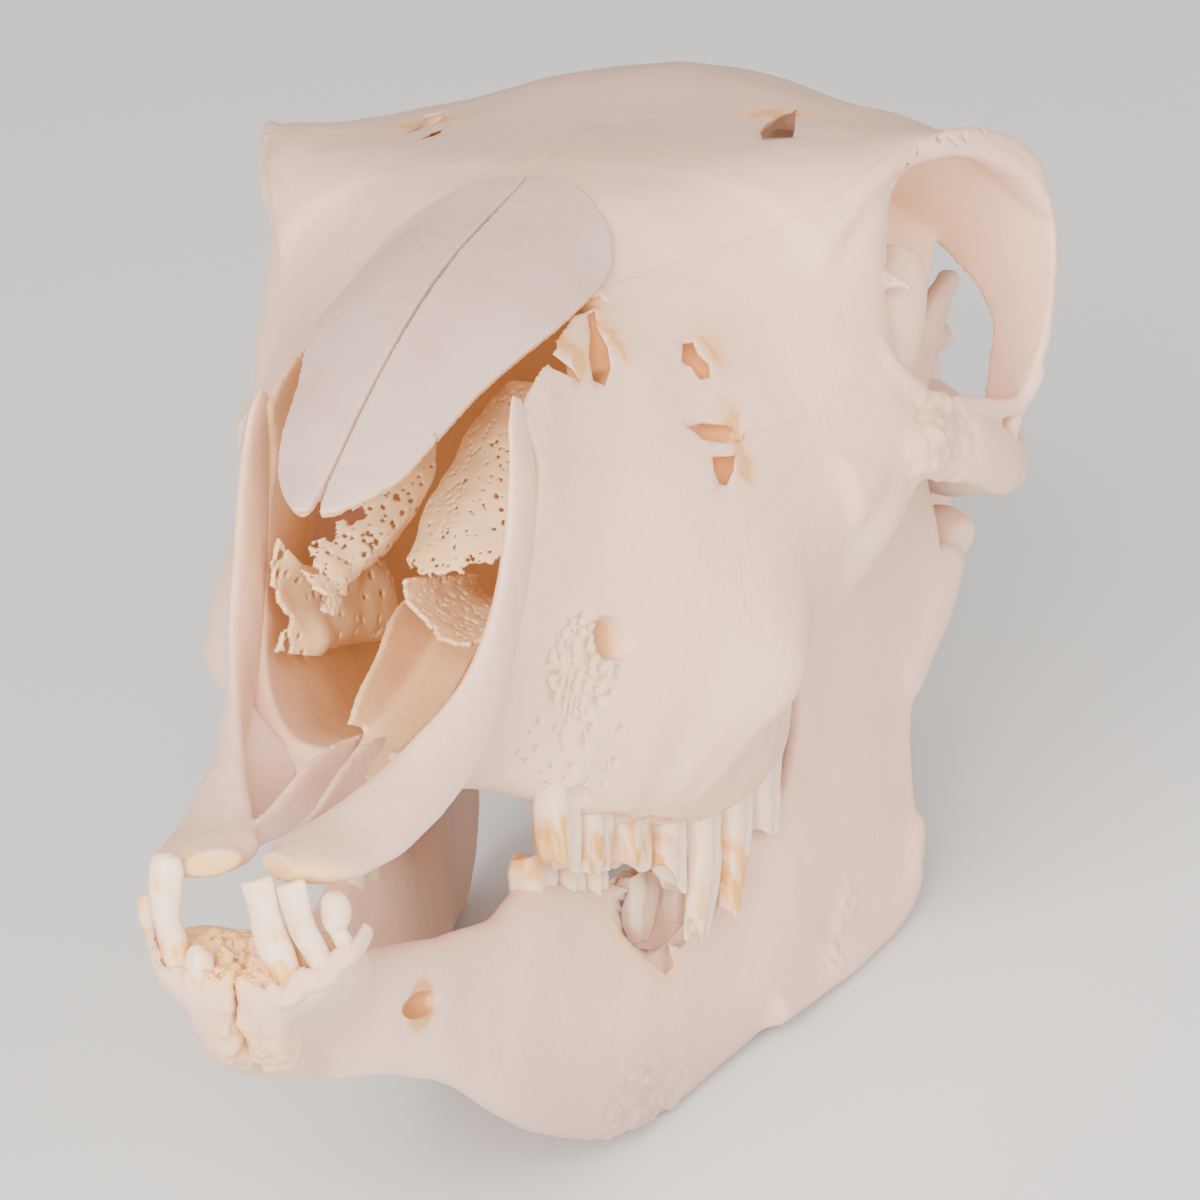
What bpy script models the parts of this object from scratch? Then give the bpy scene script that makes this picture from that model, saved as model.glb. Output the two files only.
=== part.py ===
"""Skull and lower jaw of a young polled sheep, at real size.

Points are millimetres in the skull's own frame: +X is the animal's left, +Y runs to
the back of the head, +Z is up, and the chewing surface of the upper teeth lies level
near z = 0. The whole skull is then tipped nose up onto the floor by its rest frame.
"""
import math

import bmesh
import bpy
from mathutils import Matrix, Vector

# Driving dimensions
MM = 0.001
SKULL_PITCH = math.radians(18.9)      # nose-up tip when the jaw rests on the floor
JOINT_GAP = 0.3                       # air left between two bones or a tooth and its socket
BONE_WALL = 3.0                       # thin bone of the face and the orbit
NASAL_WALL = 2.2
SEAT_HEADROOM = 4.0                   # bone cleared above the middle of each nasal bone
HEADROOM_GAP = 0.45
CONCHA_WALL = 1.4
CRANIUM_VOXEL = 1.3
JAW_VOXEL = 1.0
SMALL_VOXEL = 0.7
WELD_DISTANCE = 0.002
CRANIUM_TRIANGLES = 3300
JAW_TRIANGLES = 540
PREMAXILLA_TRIANGLES = 240
CONCHA_TRIANGLES = 240
VOMER_TRIANGLES = 120

BONE = (0.86, 0.77, 0.70)
NASAL_BONE = (0.80, 0.73, 0.73)
INNER_BONE = (0.86, 0.68, 0.50)
TOOTH = (0.90, 0.85, 0.73)


# Scene and collections

def clear_scene():
    for thing in list(bpy.data.objects):
        bpy.data.objects.remove(thing, do_unlink=True)


def collection(name):
    group = bpy.data.collections.new(name)
    bpy.context.scene.collection.children.link(group)
    return group


def material(name, colour, roughness):
    finish = bpy.data.materials.new(name)
    finish.use_nodes = True
    shader = finish.node_tree.nodes["Principled BSDF"]
    shader.inputs["Base Color"].default_value = (*colour, 1.0)
    shader.inputs["Roughness"].default_value = roughness
    shader.inputs["Metallic"].default_value = 0.0
    finish.diffuse_color = (*colour, 1.0)
    return finish


def add_mesh(name, bm):
    bmesh.ops.triangulate(bm, faces=bm.faces)
    bmesh.ops.recalc_face_normals(bm, faces=bm.faces)
    mesh = bpy.data.meshes.new(name)
    bm.to_mesh(mesh)
    bm.free()
    thing = bpy.data.objects.new(name, mesh)
    bpy.context.scene.collection.objects.link(thing)
    return thing


# Curves and rings

def spline(points, steps, closed=False):
    """Points of a smooth curve through the given points."""
    points = [Vector(p) for p in points]
    count = len(points)
    spans = count if closed else count - 1
    out = []
    for i in range(spans):
        if closed:
            a, b, c, d = (points[(i + k) % count] for k in (-1, 0, 1, 2))
        else:
            b, c = points[i], points[i + 1]
            a = points[i - 1] if i > 0 else b * 2 - c
            d = points[i + 2] if i + 2 < count else c * 2 - b
        for k in range(steps):
            t = k / steps
            out.append(0.5 * (2 * b + (c - a) * t + (2 * a - 5 * b + 4 * c - d) * t * t
                              + (3 * b - a - 3 * c + d) * t ** 3))
    if not closed:
        out.append(points[-1])
    return out


def mirrored_ring(y, half):
    """A closed ring at depth y from the (x, z) points of its left half, top to bottom."""
    left = [Vector((x, y, z)) for x, z in half]
    right = [Vector((-x, y, z)) for x, z in reversed(half[1:-1])]
    return left + right


def loft(name, stations, steps=4, round_ring=2):
    """A closed solid through rings of equal point counts."""
    rings = [spline(ring, round_ring, closed=True) for ring in stations]
    tracks = [spline([ring[i] for ring in rings], steps) for i in range(len(rings[0]))]
    bm = bmesh.new()
    grid = [[bm.verts.new(track[k] * MM) for track in tracks] for k in range(len(tracks[0]))]
    around = len(tracks)
    for near, far in zip(grid, grid[1:]):
        for i in range(around):
            j = (i + 1) % around
            bm.faces.new((near[i], near[j], far[j], far[i]))
    bm.faces.new(grid[0])
    bm.faces.new(grid[-1])
    return add_mesh(name, bm)


def strap(name, stations, across, side=1, sides=12, steps=4):
    """A band of oval section along a path of (point, width, thickness).

    across is the way its width lies: one direction, or one for each station.
    """
    flip = Vector((side, 1, 1))
    path = spline([Vector(p) * flip for p, _, _ in stations], steps)
    sizes = spline([(w, t, 0) for _, w, t in stations], steps)
    if isinstance(across[0], (int, float)):
        across = [across] * len(stations)
    ways = spline([Vector(way) * flip for way in across], steps)
    rings = []
    for i, centre in enumerate(path):
        ahead = (path[min(i + 1, len(path) - 1)] - path[max(i - 1, 0)]).normalized()
        wide = (ways[i] - ahead * ways[i].dot(ahead)).normalized()
        thick = ahead.cross(wide)
        width, thickness = sizes[i].x / 2, sizes[i].y / 2
        turns = [2 * math.pi * k / sides for k in range(sides)]
        rings.append([centre + wide * width * math.cos(a) + thick * thickness * math.sin(a)
                      for a in turns])
    return loft(name, rings, steps=1, round_ring=1)


def sheet(name, rows, thickness, side=1, steps=4):
    """A curved plate of even thickness through rows of points."""
    flip = Vector((side, 1, 1))
    rows = [spline([Vector(p) * flip for p in row], steps) for row in rows]
    tracks = [spline([row[i] for row in rows], steps) for i in range(len(rows[0]))]
    bm = bmesh.new()
    grid = [[bm.verts.new(p * MM) for p in track] for track in tracks]
    for near, far in zip(grid, grid[1:]):
        for i in range(len(near) - 1):
            bm.faces.new((near[i], near[i + 1], far[i + 1], far[i]))
    plate = add_mesh(name, bm)
    wall = plate.modifiers.new("wall", "SOLIDIFY")
    wall.thickness = thickness * MM
    wall.offset = 0
    return settle_mesh(plate)


def ball(name, centre, radii, side=1, turn=(0, 0, 0), detail=16):
    """An egg of the three given radii, turned by degrees about X, Y and Z."""
    bm = bmesh.new()
    bmesh.ops.create_uvsphere(bm, u_segments=detail, v_segments=detail // 2 + 2, radius=MM)
    turned = Matrix.Identity(4)
    for degrees, axis in zip(turn, "XYZ"):
        turned = Matrix.Rotation(math.radians(degrees), 4, axis) @ turned
    place = Matrix.Translation(Vector(centre) * MM) @ turned @ Matrix.Diagonal((*radii, 1))
    bmesh.ops.transform(bm, matrix=Matrix.Diagonal((side, 1, 1, 1)) @ place, verts=bm.verts)
    return add_mesh(name, bm)


# Joining and cutting

def settle_mesh(thing):
    """Replaces an object's mesh by what its modifiers make of it."""
    graph = bpy.context.evaluated_depsgraph_get()
    made = bpy.data.meshes.new_from_object(thing.evaluated_get(graph))
    thing.modifiers.clear()
    thing.data = made
    return thing


def fuse(name, pieces, voxel, triangles, smooth=4, cutters=(), tools=None):
    """Welds overlapping pieces into one closed skin of about the given triangle count."""
    bm = bmesh.new()
    for piece in pieces:
        bm.from_mesh(piece.data)
        bpy.data.objects.remove(piece, do_unlink=True)
    whole = add_mesh(name, bm)
    skin = whole.modifiers.new("skin", "REMESH")
    skin.mode = "VOXEL"
    skin.voxel_size = voxel * MM
    soft = whole.modifiers.new("soft", "SMOOTH")
    soft.factor = 0.5
    soft.iterations = smooth
    settle_mesh(whole)
    return reduce(carve(whole, cutters, tools), triangles)


def reduce(whole, triangles):
    """Thins a skin to about the given triangle count."""
    whole.data.calc_loop_triangles()
    fewer = whole.modifiers.new("fewer", "DECIMATE")
    fewer.ratio = min(1.0, triangles / len(whole.data.loop_triangles))
    return settle_mesh(whole)


def swollen(thing, extra, name):
    """A copy of a solid grown outwards, to cut its seat in a neighbour."""
    copy = bpy.data.objects.new(name, thing.data.copy())
    bpy.context.scene.collection.objects.link(copy)
    bm = bmesh.new()
    bm.from_mesh(copy.data)
    bmesh.ops.recalc_face_normals(bm, faces=bm.faces)
    bm.normal_update()
    moves = [vert.co + vert.normal * (extra * MM * max(1.0, min(2.0, vert.calc_shell_factor())))
             for vert in bm.verts]
    for vert, place in zip(bm.verts, moves):
        vert.co = place
    bm.to_mesh(copy.data)
    bm.free()
    return copy


def carve(thing, cutters, tools):
    """Takes the cutters out of a solid, and keeps them as hidden wires."""
    for cutter in cutters:
        for group in list(cutter.users_collection):
            group.objects.unlink(cutter)
        tools.objects.link(cutter)
        cutter.hide_render = True
        cutter.display_type = "WIRE"
        cut = thing.modifiers.new("cut", "BOOLEAN")
        cut.operation = "DIFFERENCE"
        cut.solver = "EXACT"
        cut.object = cutter
        settle_mesh(thing)
    return largest_body(close_cracks(thing))


def close_cracks(thing):
    """Welds the hairline cracks that a chain of cuts can leave."""
    bm = bmesh.new()
    bm.from_mesh(thing.data)
    bmesh.ops.remove_doubles(bm, verts=bm.verts, dist=WELD_DISTANCE * MM)
    bmesh.ops.dissolve_degenerate(bm, edges=bm.edges, dist=WELD_DISTANCE * MM)
    bmesh.ops.holes_fill(bm, edges=bm.edges, sides=4)
    bmesh.ops.triangulate(bm, faces=bm.faces)
    bmesh.ops.recalc_face_normals(bm, faces=bm.faces)
    bm.to_mesh(thing.data)
    bm.free()
    return thing


def largest_body(thing):
    """Drops crumbs that a cut has set loose."""
    bm = bmesh.new()
    bm.from_mesh(thing.data)
    left = set(bm.verts)
    bodies = []
    while left:
        seed = left.pop()
        body, edge = {seed}, [seed]
        while edge:
            vert = edge.pop()
            for link in vert.link_edges:
                other = link.other_vert(vert)
                if other not in body:
                    body.add(other)
                    edge.append(other)
        left -= body
        bodies.append(body)
    bodies.sort(key=len)
    bmesh.ops.delete(bm, geom=[v for body in bodies[:-1] for v in body], context="VERTS")
    bm.to_mesh(thing.data)
    bm.free()
    return thing


# Cranium

FACE = {
    # depth y: left half-section from the bridge of the nose round the cheek to the palate
    -62: [(0, 56), (8, 55), (14, 50), (15.5, 42), (16, 34), (16.5, 27), (16.5, 21), (15.5, 16),
          (13.5, 11.5), (10, 9.5), (6, 10), (0, 10.5)],
    -45: [(0, 64.5), (9, 63), (18.5, 61), (20, 53), (20.8, 44), (21, 34), (20.5, 26), (19, 17),
          (15.5, 10.5), (11, 8), (6, 9.5), (0, 10)],
    -34: [(0, 70.5), (9, 69), (18.5, 66.5), (21.5, 58), (24, 47), (26, 36), (26.5, 27), (24, 16),
          (21.8, 5.5), (12.5, 5.5), (9, 10), (0, 11)],
    -22: [(0, 76.5), (9, 75), (18.2, 71.5), (24.5, 64), (30, 52), (33.4, 40), (36, 26), (31, 14),
          (24, 2), (13, 2), (10, 10), (0, 11.5)],
    -11: [(0, 82), (10, 81), (18, 76.5), (27, 70), (34.6, 56), (38.8, 42), (44.8, 21.5), (38, 12),
          (26.5, 0.5), (15, 1), (11, 10), (0, 12)],
    0: [(0, 87), (11, 86.5), (21, 84), (31, 76), (39, 62), (41.8, 47), (43.2, 29), (36, 14),
        (28, -0.5), (17, 0), (12, 10), (0, 12.5)],
    10: [(0, 91), (13, 90.5), (27, 88.5), (38, 83), (45, 68), (46.2, 52), (43.8, 34), (35, 16),
         (30, 1), (19, 1.5), (13, 10), (0, 13)],
    18: [(0, 93.5), (15, 93), (32, 92), (45, 88), (47, 74), (49.5, 56), (48, 38), (34, 18),
         (30.5, 3.5), (21, 4), (14, 10), (0, 13.5)],
    25: [(0, 95), (15, 94.5), (34, 93), (46, 89), (45, 74), (49.5, 56), (49, 42), (33, 20),
         (30, 6), (21, 6), (14, 11), (0, 14)],
}
BRAIN = {
    # depth y: left half-section of the brain case, from the roof to the skull base
    12: [(0, 90), (14, 88), (22, 80), (24, 64), (22, 48), (18, 36), (12, 28), (0, 26)],
    30: [(0, 97), (16, 95), (24, 84), (25, 66), (22, 50), (17, 40), (10, 33), (0, 31)],
    45: [(0, 101), (18, 98.5), (25, 88), (25, 68), (21, 52), (15, 42), (9, 36), (0, 34)],
    60: [(0, 103), (20, 100), (28, 90), (29, 72), (24, 54), (16, 42), (9, 35), (0, 33)],
    72: [(0, 101.5), (20, 98), (31, 87), (33, 70), (28, 52), (18, 38), (9, 31), (0, 29)],
    86: [(0, 97), (20, 93), (31, 82), (34, 66), (31, 50), (20, 34), (9, 26), (0, 24)],
    100: [(0, 89), (18, 86), (28, 76), (32, 62), (29, 46), (19, 30), (9, 22), (0, 20)],
    110: [(0, 80), (16, 77), (25, 69), (29, 57), (26, 42), (17, 28), (8, 21), (0, 19)],
    117: [(0, 71), (14, 68), (21, 62), (24, 52), (21, 40), (13, 29), (7, 22), (0, 20)],
    121: [(0, 62), (9, 60), (14, 54), (16, 47), (15, 38), (11, 30), (6, 25), (0, 23)],
}
BRAIN_ROOM = {
    # depth y: left half-section of the space for the brain, open behind to the neck
    50: [(0, 88), (10, 85), (14, 76), (14, 64), (12, 54), (8, 48), (0, 46)],
    60: [(0, 96), (15, 93), (22, 85), (22, 70), (17, 56), (10, 46), (0, 42)],
    72: [(0, 95), (16, 92), (26, 84), (28, 69), (23, 54), (12, 42), (0, 38)],
    86: [(0, 91), (16, 88), (27, 80), (29, 66), (26, 52), (15, 38), (0, 33)],
    100: [(0, 83), (14, 80), (23, 73), (26, 61), (23, 48), (13, 36), (0, 29)],
    110: [(0, 73), (11, 71), (19, 65), (21, 56), (19, 45), (11, 34), (0, 28)],
}
FOREHEAD = {
    # depth y: (x, z) along the left half of the roof, out to the brow
    8: [(0, 90.5), (13, 90), (24, 88.5), (34, 85.5), (41, 80)],
    16: [(0, 93), (13, 92.7), (24, 92.2), (36, 91.2), (45.5, 89)],
    25: [(0, 95.8), (13, 95.5), (25, 94.5), (38, 94), (49, 93.3)],
    34: [(0, 99), (13, 98.6), (26, 96.6), (40, 95.2), (54, 94.6)],
    44: [(0, 102.8), (14, 101.8), (27, 98.6), (42, 95.9), (59, 91)],
    53: [(0, 104), (14, 102.6), (27, 99), (42, 95.2), (60, 84)],
    62: [(0, 104), (13, 102.6), (25, 98.8), (37, 93.6), (50, 86)],
    72: [(0, 102), (12, 101), (22, 97.2), (29, 92), (36, 85)],
}
FOREHEAD_DEPTH = 5.0
BROW_RIM = [(45.4, 19.8, 78), (46.8, 21, 89.3), (52.2, 29, 93.9), (56.2, 37.3, 94.4),
            (60.7, 45.6, 90.4), (62, 51.2, 82.3), (61.8, 53.2, 74), (60.2, 54.3, 64),
            (56.6, 53, 54), (54.2, 51, 46.5)]
BROW_INNER = [(36, 26, 78), (37, 34, 86), (38.5, 44, 85.5), (41, 52, 81), (44, 57, 77),
              (48.5, 59, 71.5), (50.8, 59, 66), (50.3, 59, 60), (50.2, 58, 54), (52, 57, 47)]


def forehead():
    rings = []
    for y, half in FOREHEAD.items():
        under = [(x, z - FOREHEAD_DEPTH) for x, z in reversed(half)]
        rings.append(mirrored_ring(y, half + under))
    return loft("forehead", rings)


def cranium_pieces():
    pieces = [
        loft("face", [mirrored_ring(y, half) for y, half in FACE.items()]),
        loft("brain_case", [mirrored_ring(y, half) for y, half in BRAIN.items()]),
        forehead(),
        strap("skull_base", [((0, 58, 31), 15, 9), ((0, 80, 25), 16, 10), ((0, 104, 20), 18, 9),
                             ((0, 116, 22), 20, 8)], (1, 0, 0)),
        strap("nape_crest", [((-28, 106, 60), 5, 4), ((-19, 114, 68), 5, 4), ((0, 118, 72), 6, 5),
                             ((19, 114, 68), 5, 4), ((28, 106, 60), 5, 4)], (0, 0.7, 0.7)),
    ]
    for side in (1, -1):
        pieces += cranium_side(side)
    return pieces


def cranium_side(side):
    return [
        sheet("brow", [BROW_RIM, BROW_INNER], BONE_WALL, side),
        strap("cheek_bone", [((44, 8, 45), 13, 7), ((47, 17, 50), 11, 6.5),
                             ((50.5, 27, 50.4), 10.5, 5.5), ((53.7, 38, 49.5), 11, 5.5),
                             ((54.5, 48, 47), 10.5, 5), ((54.2, 53, 45.5), 9, 4.5)],
              (0, 0, 1), side),
        strap("cheek_arch", [((54, 46, 47), 9.5, 4.5), ((53.6, 56, 46), 9, 4.5),
                             ((51.5, 66, 45.5), 8.5, 4.5), ((47, 75, 46), 8.5, 6),
                             ((40, 83, 47), 9.5, 10), ((29, 89, 50), 14, 15)], (0, 0, 1), side),
        ball("jaw_seat", (39, 81, 42.5), (9, 9.5, 3.6), side),
        strap("ear_tube", [((26, 92, 42), 11, 11), ((32, 93, 44), 10, 10), ((37, 93, 46), 8, 9)],
              (0, 0, 1), side),
        ball("ear_capsule", (18.5, 91, 25), (7.5, 12, 9), side, (12, -15, 0)),
        strap("jugular_process", [((24, 111, 42), 12, 7), ((24, 109, 26), 10, 6),
                                  ((22.5, 106, 14), 7, 4.5), ((21, 102, 5), 4, 3)], (0.3, 1, 0), side),
        ball("condyle", (13.5, 121, 33), (8, 8, 11), side, (0, 20, 0)),
        strap("pterygoid", [((13, 20, 20), 26, 4), ((12, 34, 23), 26, 3.4), ((11, 48, 25), 20, 3.2),
                            ((11.5, 60, 28), 13, 4), ((13, 68, 32), 8, 5)], (0, 0, 1), side),
        ball("hind_tooth_bed", (25.5, 24.5, 17.5), (5.5, 6.6, 13), side),
        strap("tear_bulb", [((39, 22, 60), 18, 17), ((40.5, 28, 67), 14, 13),
                            ((41.5, 32, 74), 8, 8)], (1, 0, 0), side),
        ball("cheek_knob", (48.6, 16.5, 52.2), (4, 6.5, 4), side),
    ]


NASAL_CAVITY = {
    # depth y: left half-section of the nose's air space
    -75: [(0, 70), (9, 69), (13, 60), (14, 45), (14.5, 32), (13.5, 22), (9, 15), (0, 14)],
    -58: [(0, 76), (11, 75), (15, 62), (16.5, 45), (16.5, 32), (15, 22), (10, 15), (0, 14)],
    -45: [(0, 80), (12, 79), (17, 66), (18, 48), (18, 34), (16, 22), (11, 15), (0, 14)],
    -30: [(0, 84), (12, 83), (16.5, 69), (18, 52), (18, 36), (15, 22), (11, 15), (0, 14.5)],
    -15: [(0, 80), (10, 78), (15, 70), (18, 54), (18, 36), (14, 22), (10, 15.5), (0, 15)],
    5: [(0, 74), (7, 73), (12, 66), (16, 52), (16, 36), (13, 24), (9, 16.5), (0, 16)],
    24: [(0, 60), (5, 59), (8, 52), (9, 42), (9, 32), (9, 24), (8, 18.5), (0, 18)],
}
# (y, z) outline of what lies ahead of the cheek's front edge, where the premaxilla joins
SUTURE_LINE = [(-49.6, 62.5), (-44.6, 52), (-47.6, 40), (-51.6, 28), (-54.6, 20), (-58.2, 12),
               (-62, 6)]


def prism(name, outline, half_width):
    """A solid of the (y, z) outline, across the skull from side to side."""
    bm = bmesh.new()
    near = [bm.verts.new(Vector((-half_width, y, z)) * MM) for y, z in outline]
    far = [bm.verts.new(Vector((half_width, y, z)) * MM) for y, z in outline]
    bm.faces.new(near)
    bm.faces.new(far)
    for i in range(len(outline)):
        j = (i + 1) % len(outline)
        bm.faces.new((near[i], near[j], far[j], far[i]))
    return add_mesh(name, bm)


def cranium_hollows():
    cutters = [
        loft("nose_hollow", [mirrored_ring(y, half) for y, half in NASAL_CAVITY.items()]),
        prism("nose_front", [(-85, 6), (-85, 80), (-52, 80)] + SUTURE_LINE, 40),
        ball("spinal_opening", (0, 118, 44), (10.5, 18, 10)),
        loft("brain_room", [mirrored_ring(y, half) for y, half in BRAIN_ROOM.items()]),
    ]
    for side in (1, -1):
        cutters += [
            ball("orbit_hollow", (48, 35.5, 73), (26, 15.8, 17), side, (0, 10, -22), 24),
            ball("cheek_hollow", (40, 38, 35), (11, 16, 15), side),
        ]
    return cutters


def cranium_openings():
    """The small holes of the brow and the face; the gaps in the thin bone are on the left."""
    cutters = [
        ball("tear_gap", (35.5, -16.5, 50), (3, 2.6, 2.2), 1, (0, 0, 0), 8),
        ball("tear_gap", (35, -19, 54.5), (3, 4, 1.6), 1, (0, 0, 0), 8),
        ball("tear_gap", (31, -15, 64), (3, 2.2, 2.6), 1, (20, 0, 0), 8),
        ball("nose_side_gap", (21.5, -27, 64.8), (3, 2, 5), 1, (-10, 0, 0), 8),
    ]
    for side in (1, -1):
        cutters += [
            ball("brow_foramen", (27.7, 30.5, 97), (2.6, 4.6, 6), side, (0, 0, -20), 8),
            ball("infraorbital_foramen", (26.5, -34.5, 27.5), (4, 2.4, 4.2), side, (0, 0, 30), 8),
        ]
    return cutters


# Loose bones of the nose

NASAL = [
    # rows from the brow to the tip: midline, middle and side of the left nasal bone
    [(0.4, 2, 88), (5, 1, 87.5), (10, -1, 86)],
    [(0.4, -4, 85.7), (8, -5, 84.5), (15.5, -7, 80.8)],
    [(0.4, -12, 82.8), (9, -13, 81), (17.6, -14, 75.4)],
    [(0.4, -24, 78.1), (9, -25, 76.1), (17.4, -26, 70.5)],
    [(0.4, -36, 72.1), (8.5, -36.5, 70.2), (16, -37, 66.2)],
    [(0.4, -48, 64.8), (7, -48, 63.5), (12.8, -48, 60.6)],
    [(0.4, -58, 57.8), (6, -58, 57), (11, -58, 54.8)],
    [(0.4, -66, 51.5), (5, -65, 51.5), (9.5, -64, 50.5)],
    [(0.4, -71, 47.9), (3.2, -70, 48.6), (6.5, -68.5, 48.8)],
]


def nasal(name, side):
    rows = [[(x, y, z - NASAL_WALL / 2) for x, y, z in row] for row in NASAL]
    return sheet(name, rows, NASAL_WALL, side, steps=1)


def nasal_headroom(side):
    """A block from the middle of a nasal bone upwards, so that no bone overhangs its seat."""
    rise = (SEAT_HEADROOM - NASAL_WALL) / 2
    rows = [[(x, y, z + rise) for x, y, z in row] for row in NASAL]
    block = sheet("nasal_block", rows, SEAT_HEADROOM, side, steps=1)
    room = swollen(block, HEADROOM_GAP, "nasal_headroom")
    bpy.data.objects.remove(block, do_unlink=True)
    return room


PREMAXILLA = [
    # point, width and thickness from the front pad up to the thin top of the bar
    ((5.6, -95.6, 4.4), 7.5, 4), ((7.9, -91, 4.4), 13, 5.2), ((10.2, -84, 6.3), 11.5, 5.5),
    ((12.6, -76, 9.8), 10, 5), ((14.8, -68, 14), 10, 4), ((16.9, -60.5, 20.5), 9.5, 3.4),
    ((18.3, -56, 29), 8.5, 3), ((19, -52.5, 39), 8, 2.8), ((19.2, -51, 48), 7, 2.6),
    ((18.7, -51.8, 57), 4.5, 2.2),
]
PREMAXILLA_ACROSS = [(-1, 0, 0.1), (-1, 0, 0.1), (-0.95, 0, 0.3), (-0.8, -0.2, 0.6),
                     (-0.45, -0.45, 0.8), (-0.15, -0.7, 0.7), (0, -0.9, 0.4), (0, -1, 0.2),
                     (0, -1, 0.1), (0, -1, 0)]
PALATE_BLADE = [[(2.5, -94, 8), (2.8, -85, 13), (3, -76, 16.5), (3.2, -68, 18)],
                [(2.8, -94, 4.5), (3.4, -85, 5.5), (3.8, -76, 7.5), (4, -66, 10.5)]]


def premaxilla(name, side):
    pieces = [strap("bar", PREMAXILLA, PREMAXILLA_ACROSS, side),
              sheet("blade", PALATE_BLADE, 1.8, side)]
    return fuse(name, pieces, SMALL_VOXEL, PREMAXILLA_TRIANGLES, smooth=2)


CONCHA_UPPER = [
    # rows round the scroll, each from its front edge to the back
    [(15, -46, 47), (15, -25, 48), (13.5, -4, 50)],
    [(10.5, -52, 45.5), (10, -30, 46), (10, -5, 49)],
    [(6.8, -50, 51), (6.5, -30, 51), (7, -6, 53)],
    [(7.5, -43, 58), (7, -25, 59), (7.5, -6, 60)],
    [(12.5, -40, 60.5), (12, -24, 62), (11, -6, 62)],
]
CONCHA_LOWER = [
    [(15, -50, 43.5), (15, -28, 44.5), (13.5, -4, 47)],
    [(10.5, -60, 42), (10, -35, 42.5), (10, -5, 45.5)],
    [(7.2, -64, 37.5), (7, -38, 37), (7, -6, 41)],
    [(9, -58, 31), (9, -34, 31), (8.5, -6, 36)],
    [(13, -52, 30), (12.5, -30, 31), (11.5, -6, 36)],
]


def concha(name, side):
    pieces = [sheet("scroll", CONCHA_UPPER, CONCHA_WALL + 0.4, side),
              sheet("scroll", CONCHA_LOWER, CONCHA_WALL + 0.4, side)]
    return fuse(name, pieces, SMALL_VOXEL, CONCHA_TRIANGLES, smooth=2)


VOMER_WING = [[(0.3, -63, 15.4), (0.3, -45, 15.8), (0.3, -20, 16.3), (0.3, 8, 17.4)],
              [(1.4, -61, 19), (3, -47, 31), (4, -25, 35), (3.6, 4, 36)]]


def vomer(name):
    pieces = [sheet("wing", VOMER_WING, CONCHA_WALL + 0.4, side) for side in (1, -1)]
    return fuse(name, pieces, SMALL_VOXEL, VOMER_TRIANGLES, smooth=2)


# Lower jaw

JAW_BODY = {
    # depth y: inner x, outer x, lowest z, highest z, and how far the keel narrows, 0 to 1
    -101: (1.2, 7, -13.5, -9, 0.3), -98: (0.9, 13.2, -15.5, -6.5, 0.6),
    -93: (0.8, 15.4, -19.5, -4.5, 0.8), -87: (0.9, 14.8, -24, -5.5, 0.8),
    -80: (1.3, 13, -26, -8, 0.5), -72: (4, 13, -26.4, -9.3, 0.2), -61: (7, 14, -28.8, -9.8, 0),
    -51: (8.4, 15, -32.4, -9.6, 0), -43: (9, 16, -36, -8.4, 0), -37: (9.3, 16.8, -38.6, -5.4, 0),
    -32: (9.8, 17.4, -40.6, -3.8, 0), -20: (11, 19, -43.6, -6, 0), -8: (13, 21.4, -45.2, -9.4, 0),
    4: (15.5, 23.6, -43.6, -10.2, 0), 14: (18.3, 26.2, -39.6, -8, 0), 24: (21.5, 29.6, -35.6, -3, 0),
    34: (25.3, 32, -32.4, 2, 0), 44: (28.6, 33.4, -29.4, 2, 0),
}
# The left half has a swollen lower border; on the right half it runs at these depths instead
RIGHT_LOWER_BORDER = {-61: -28, -51: -29.6, -43: -31.2, -37: -32.4, -32: -33.4, -20: -35, -8: -36,
                      4: -36, 14: -35.6, 24: -35}
JAW_BRANCH = [
    # rows from the lower border to the muscle process: front, middle and back edge
    [(21.5, 7, -31), (31, 38, -30), (33.7, 52, -26.4)],
    [(21.5, 7, -21), (31.3, 40, -21), (35.3, 64.5, -19)],
    [(25.5, 20, -11), (31.3, 42, -8), (35.5, 66.6, -9)],
    [(28.3, 31, 3), (31.8, 46, 4), (35, 65, 4)],
    [(28.6, 33.4, 16), (33, 49, 16), (36.3, 66, 16)],
    [(30.4, 36, 27), (35, 53, 27), (38, 70, 27)],
    [(33.4, 40, 37), (36.8, 53, 38), (38.5, 66, 37)],
    [(37, 44.5, 50), (38, 54, 50), (38.6, 62, 50)],
    [(39, 52.5, 61.8), (39.3, 59, 61.3), (39.4, 65.4, 60.8)],
    [(40.2, 59.5, 68), (40.4, 64, 67.3), (40.6, 68.7, 66.5)],
    [(41.5, 66.4, 74.5), (41.7, 69.5, 74), (41.9, 72.6, 73)],
]
WINDOW = (20.5, 0, -8.5)              # centre of the broken outer wall beside the growing tooth


def oval_ring(x_low, x_high, y, z_low, z_high, keel=0, sides=14, squareness=2.6):
    """A ring of a rounded rectangle in the plane across the jaw at depth y.

    A keel of 1 draws its outer side in to the inner side at the bottom.
    """
    ring = []
    for k in range(sides):
        turn = 2 * math.pi * k / sides
        c, s = math.cos(turn), math.sin(turn)
        x = math.copysign(abs(c) ** (2 / squareness), c) * (x_high - x_low) / 2
        z = math.copysign(abs(s) ** (2 / squareness), s) * (z_high - z_low) / 2
        depth = 0.5 - z / (z_high - z_low)
        x -= keel * depth ** 1.5 * (x + (x_high - x_low) / 2)
        ring.append(Vector(((x_low + x_high) / 2 + x, y, (z_low + z_high) / 2 + z)))
    return ring


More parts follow.
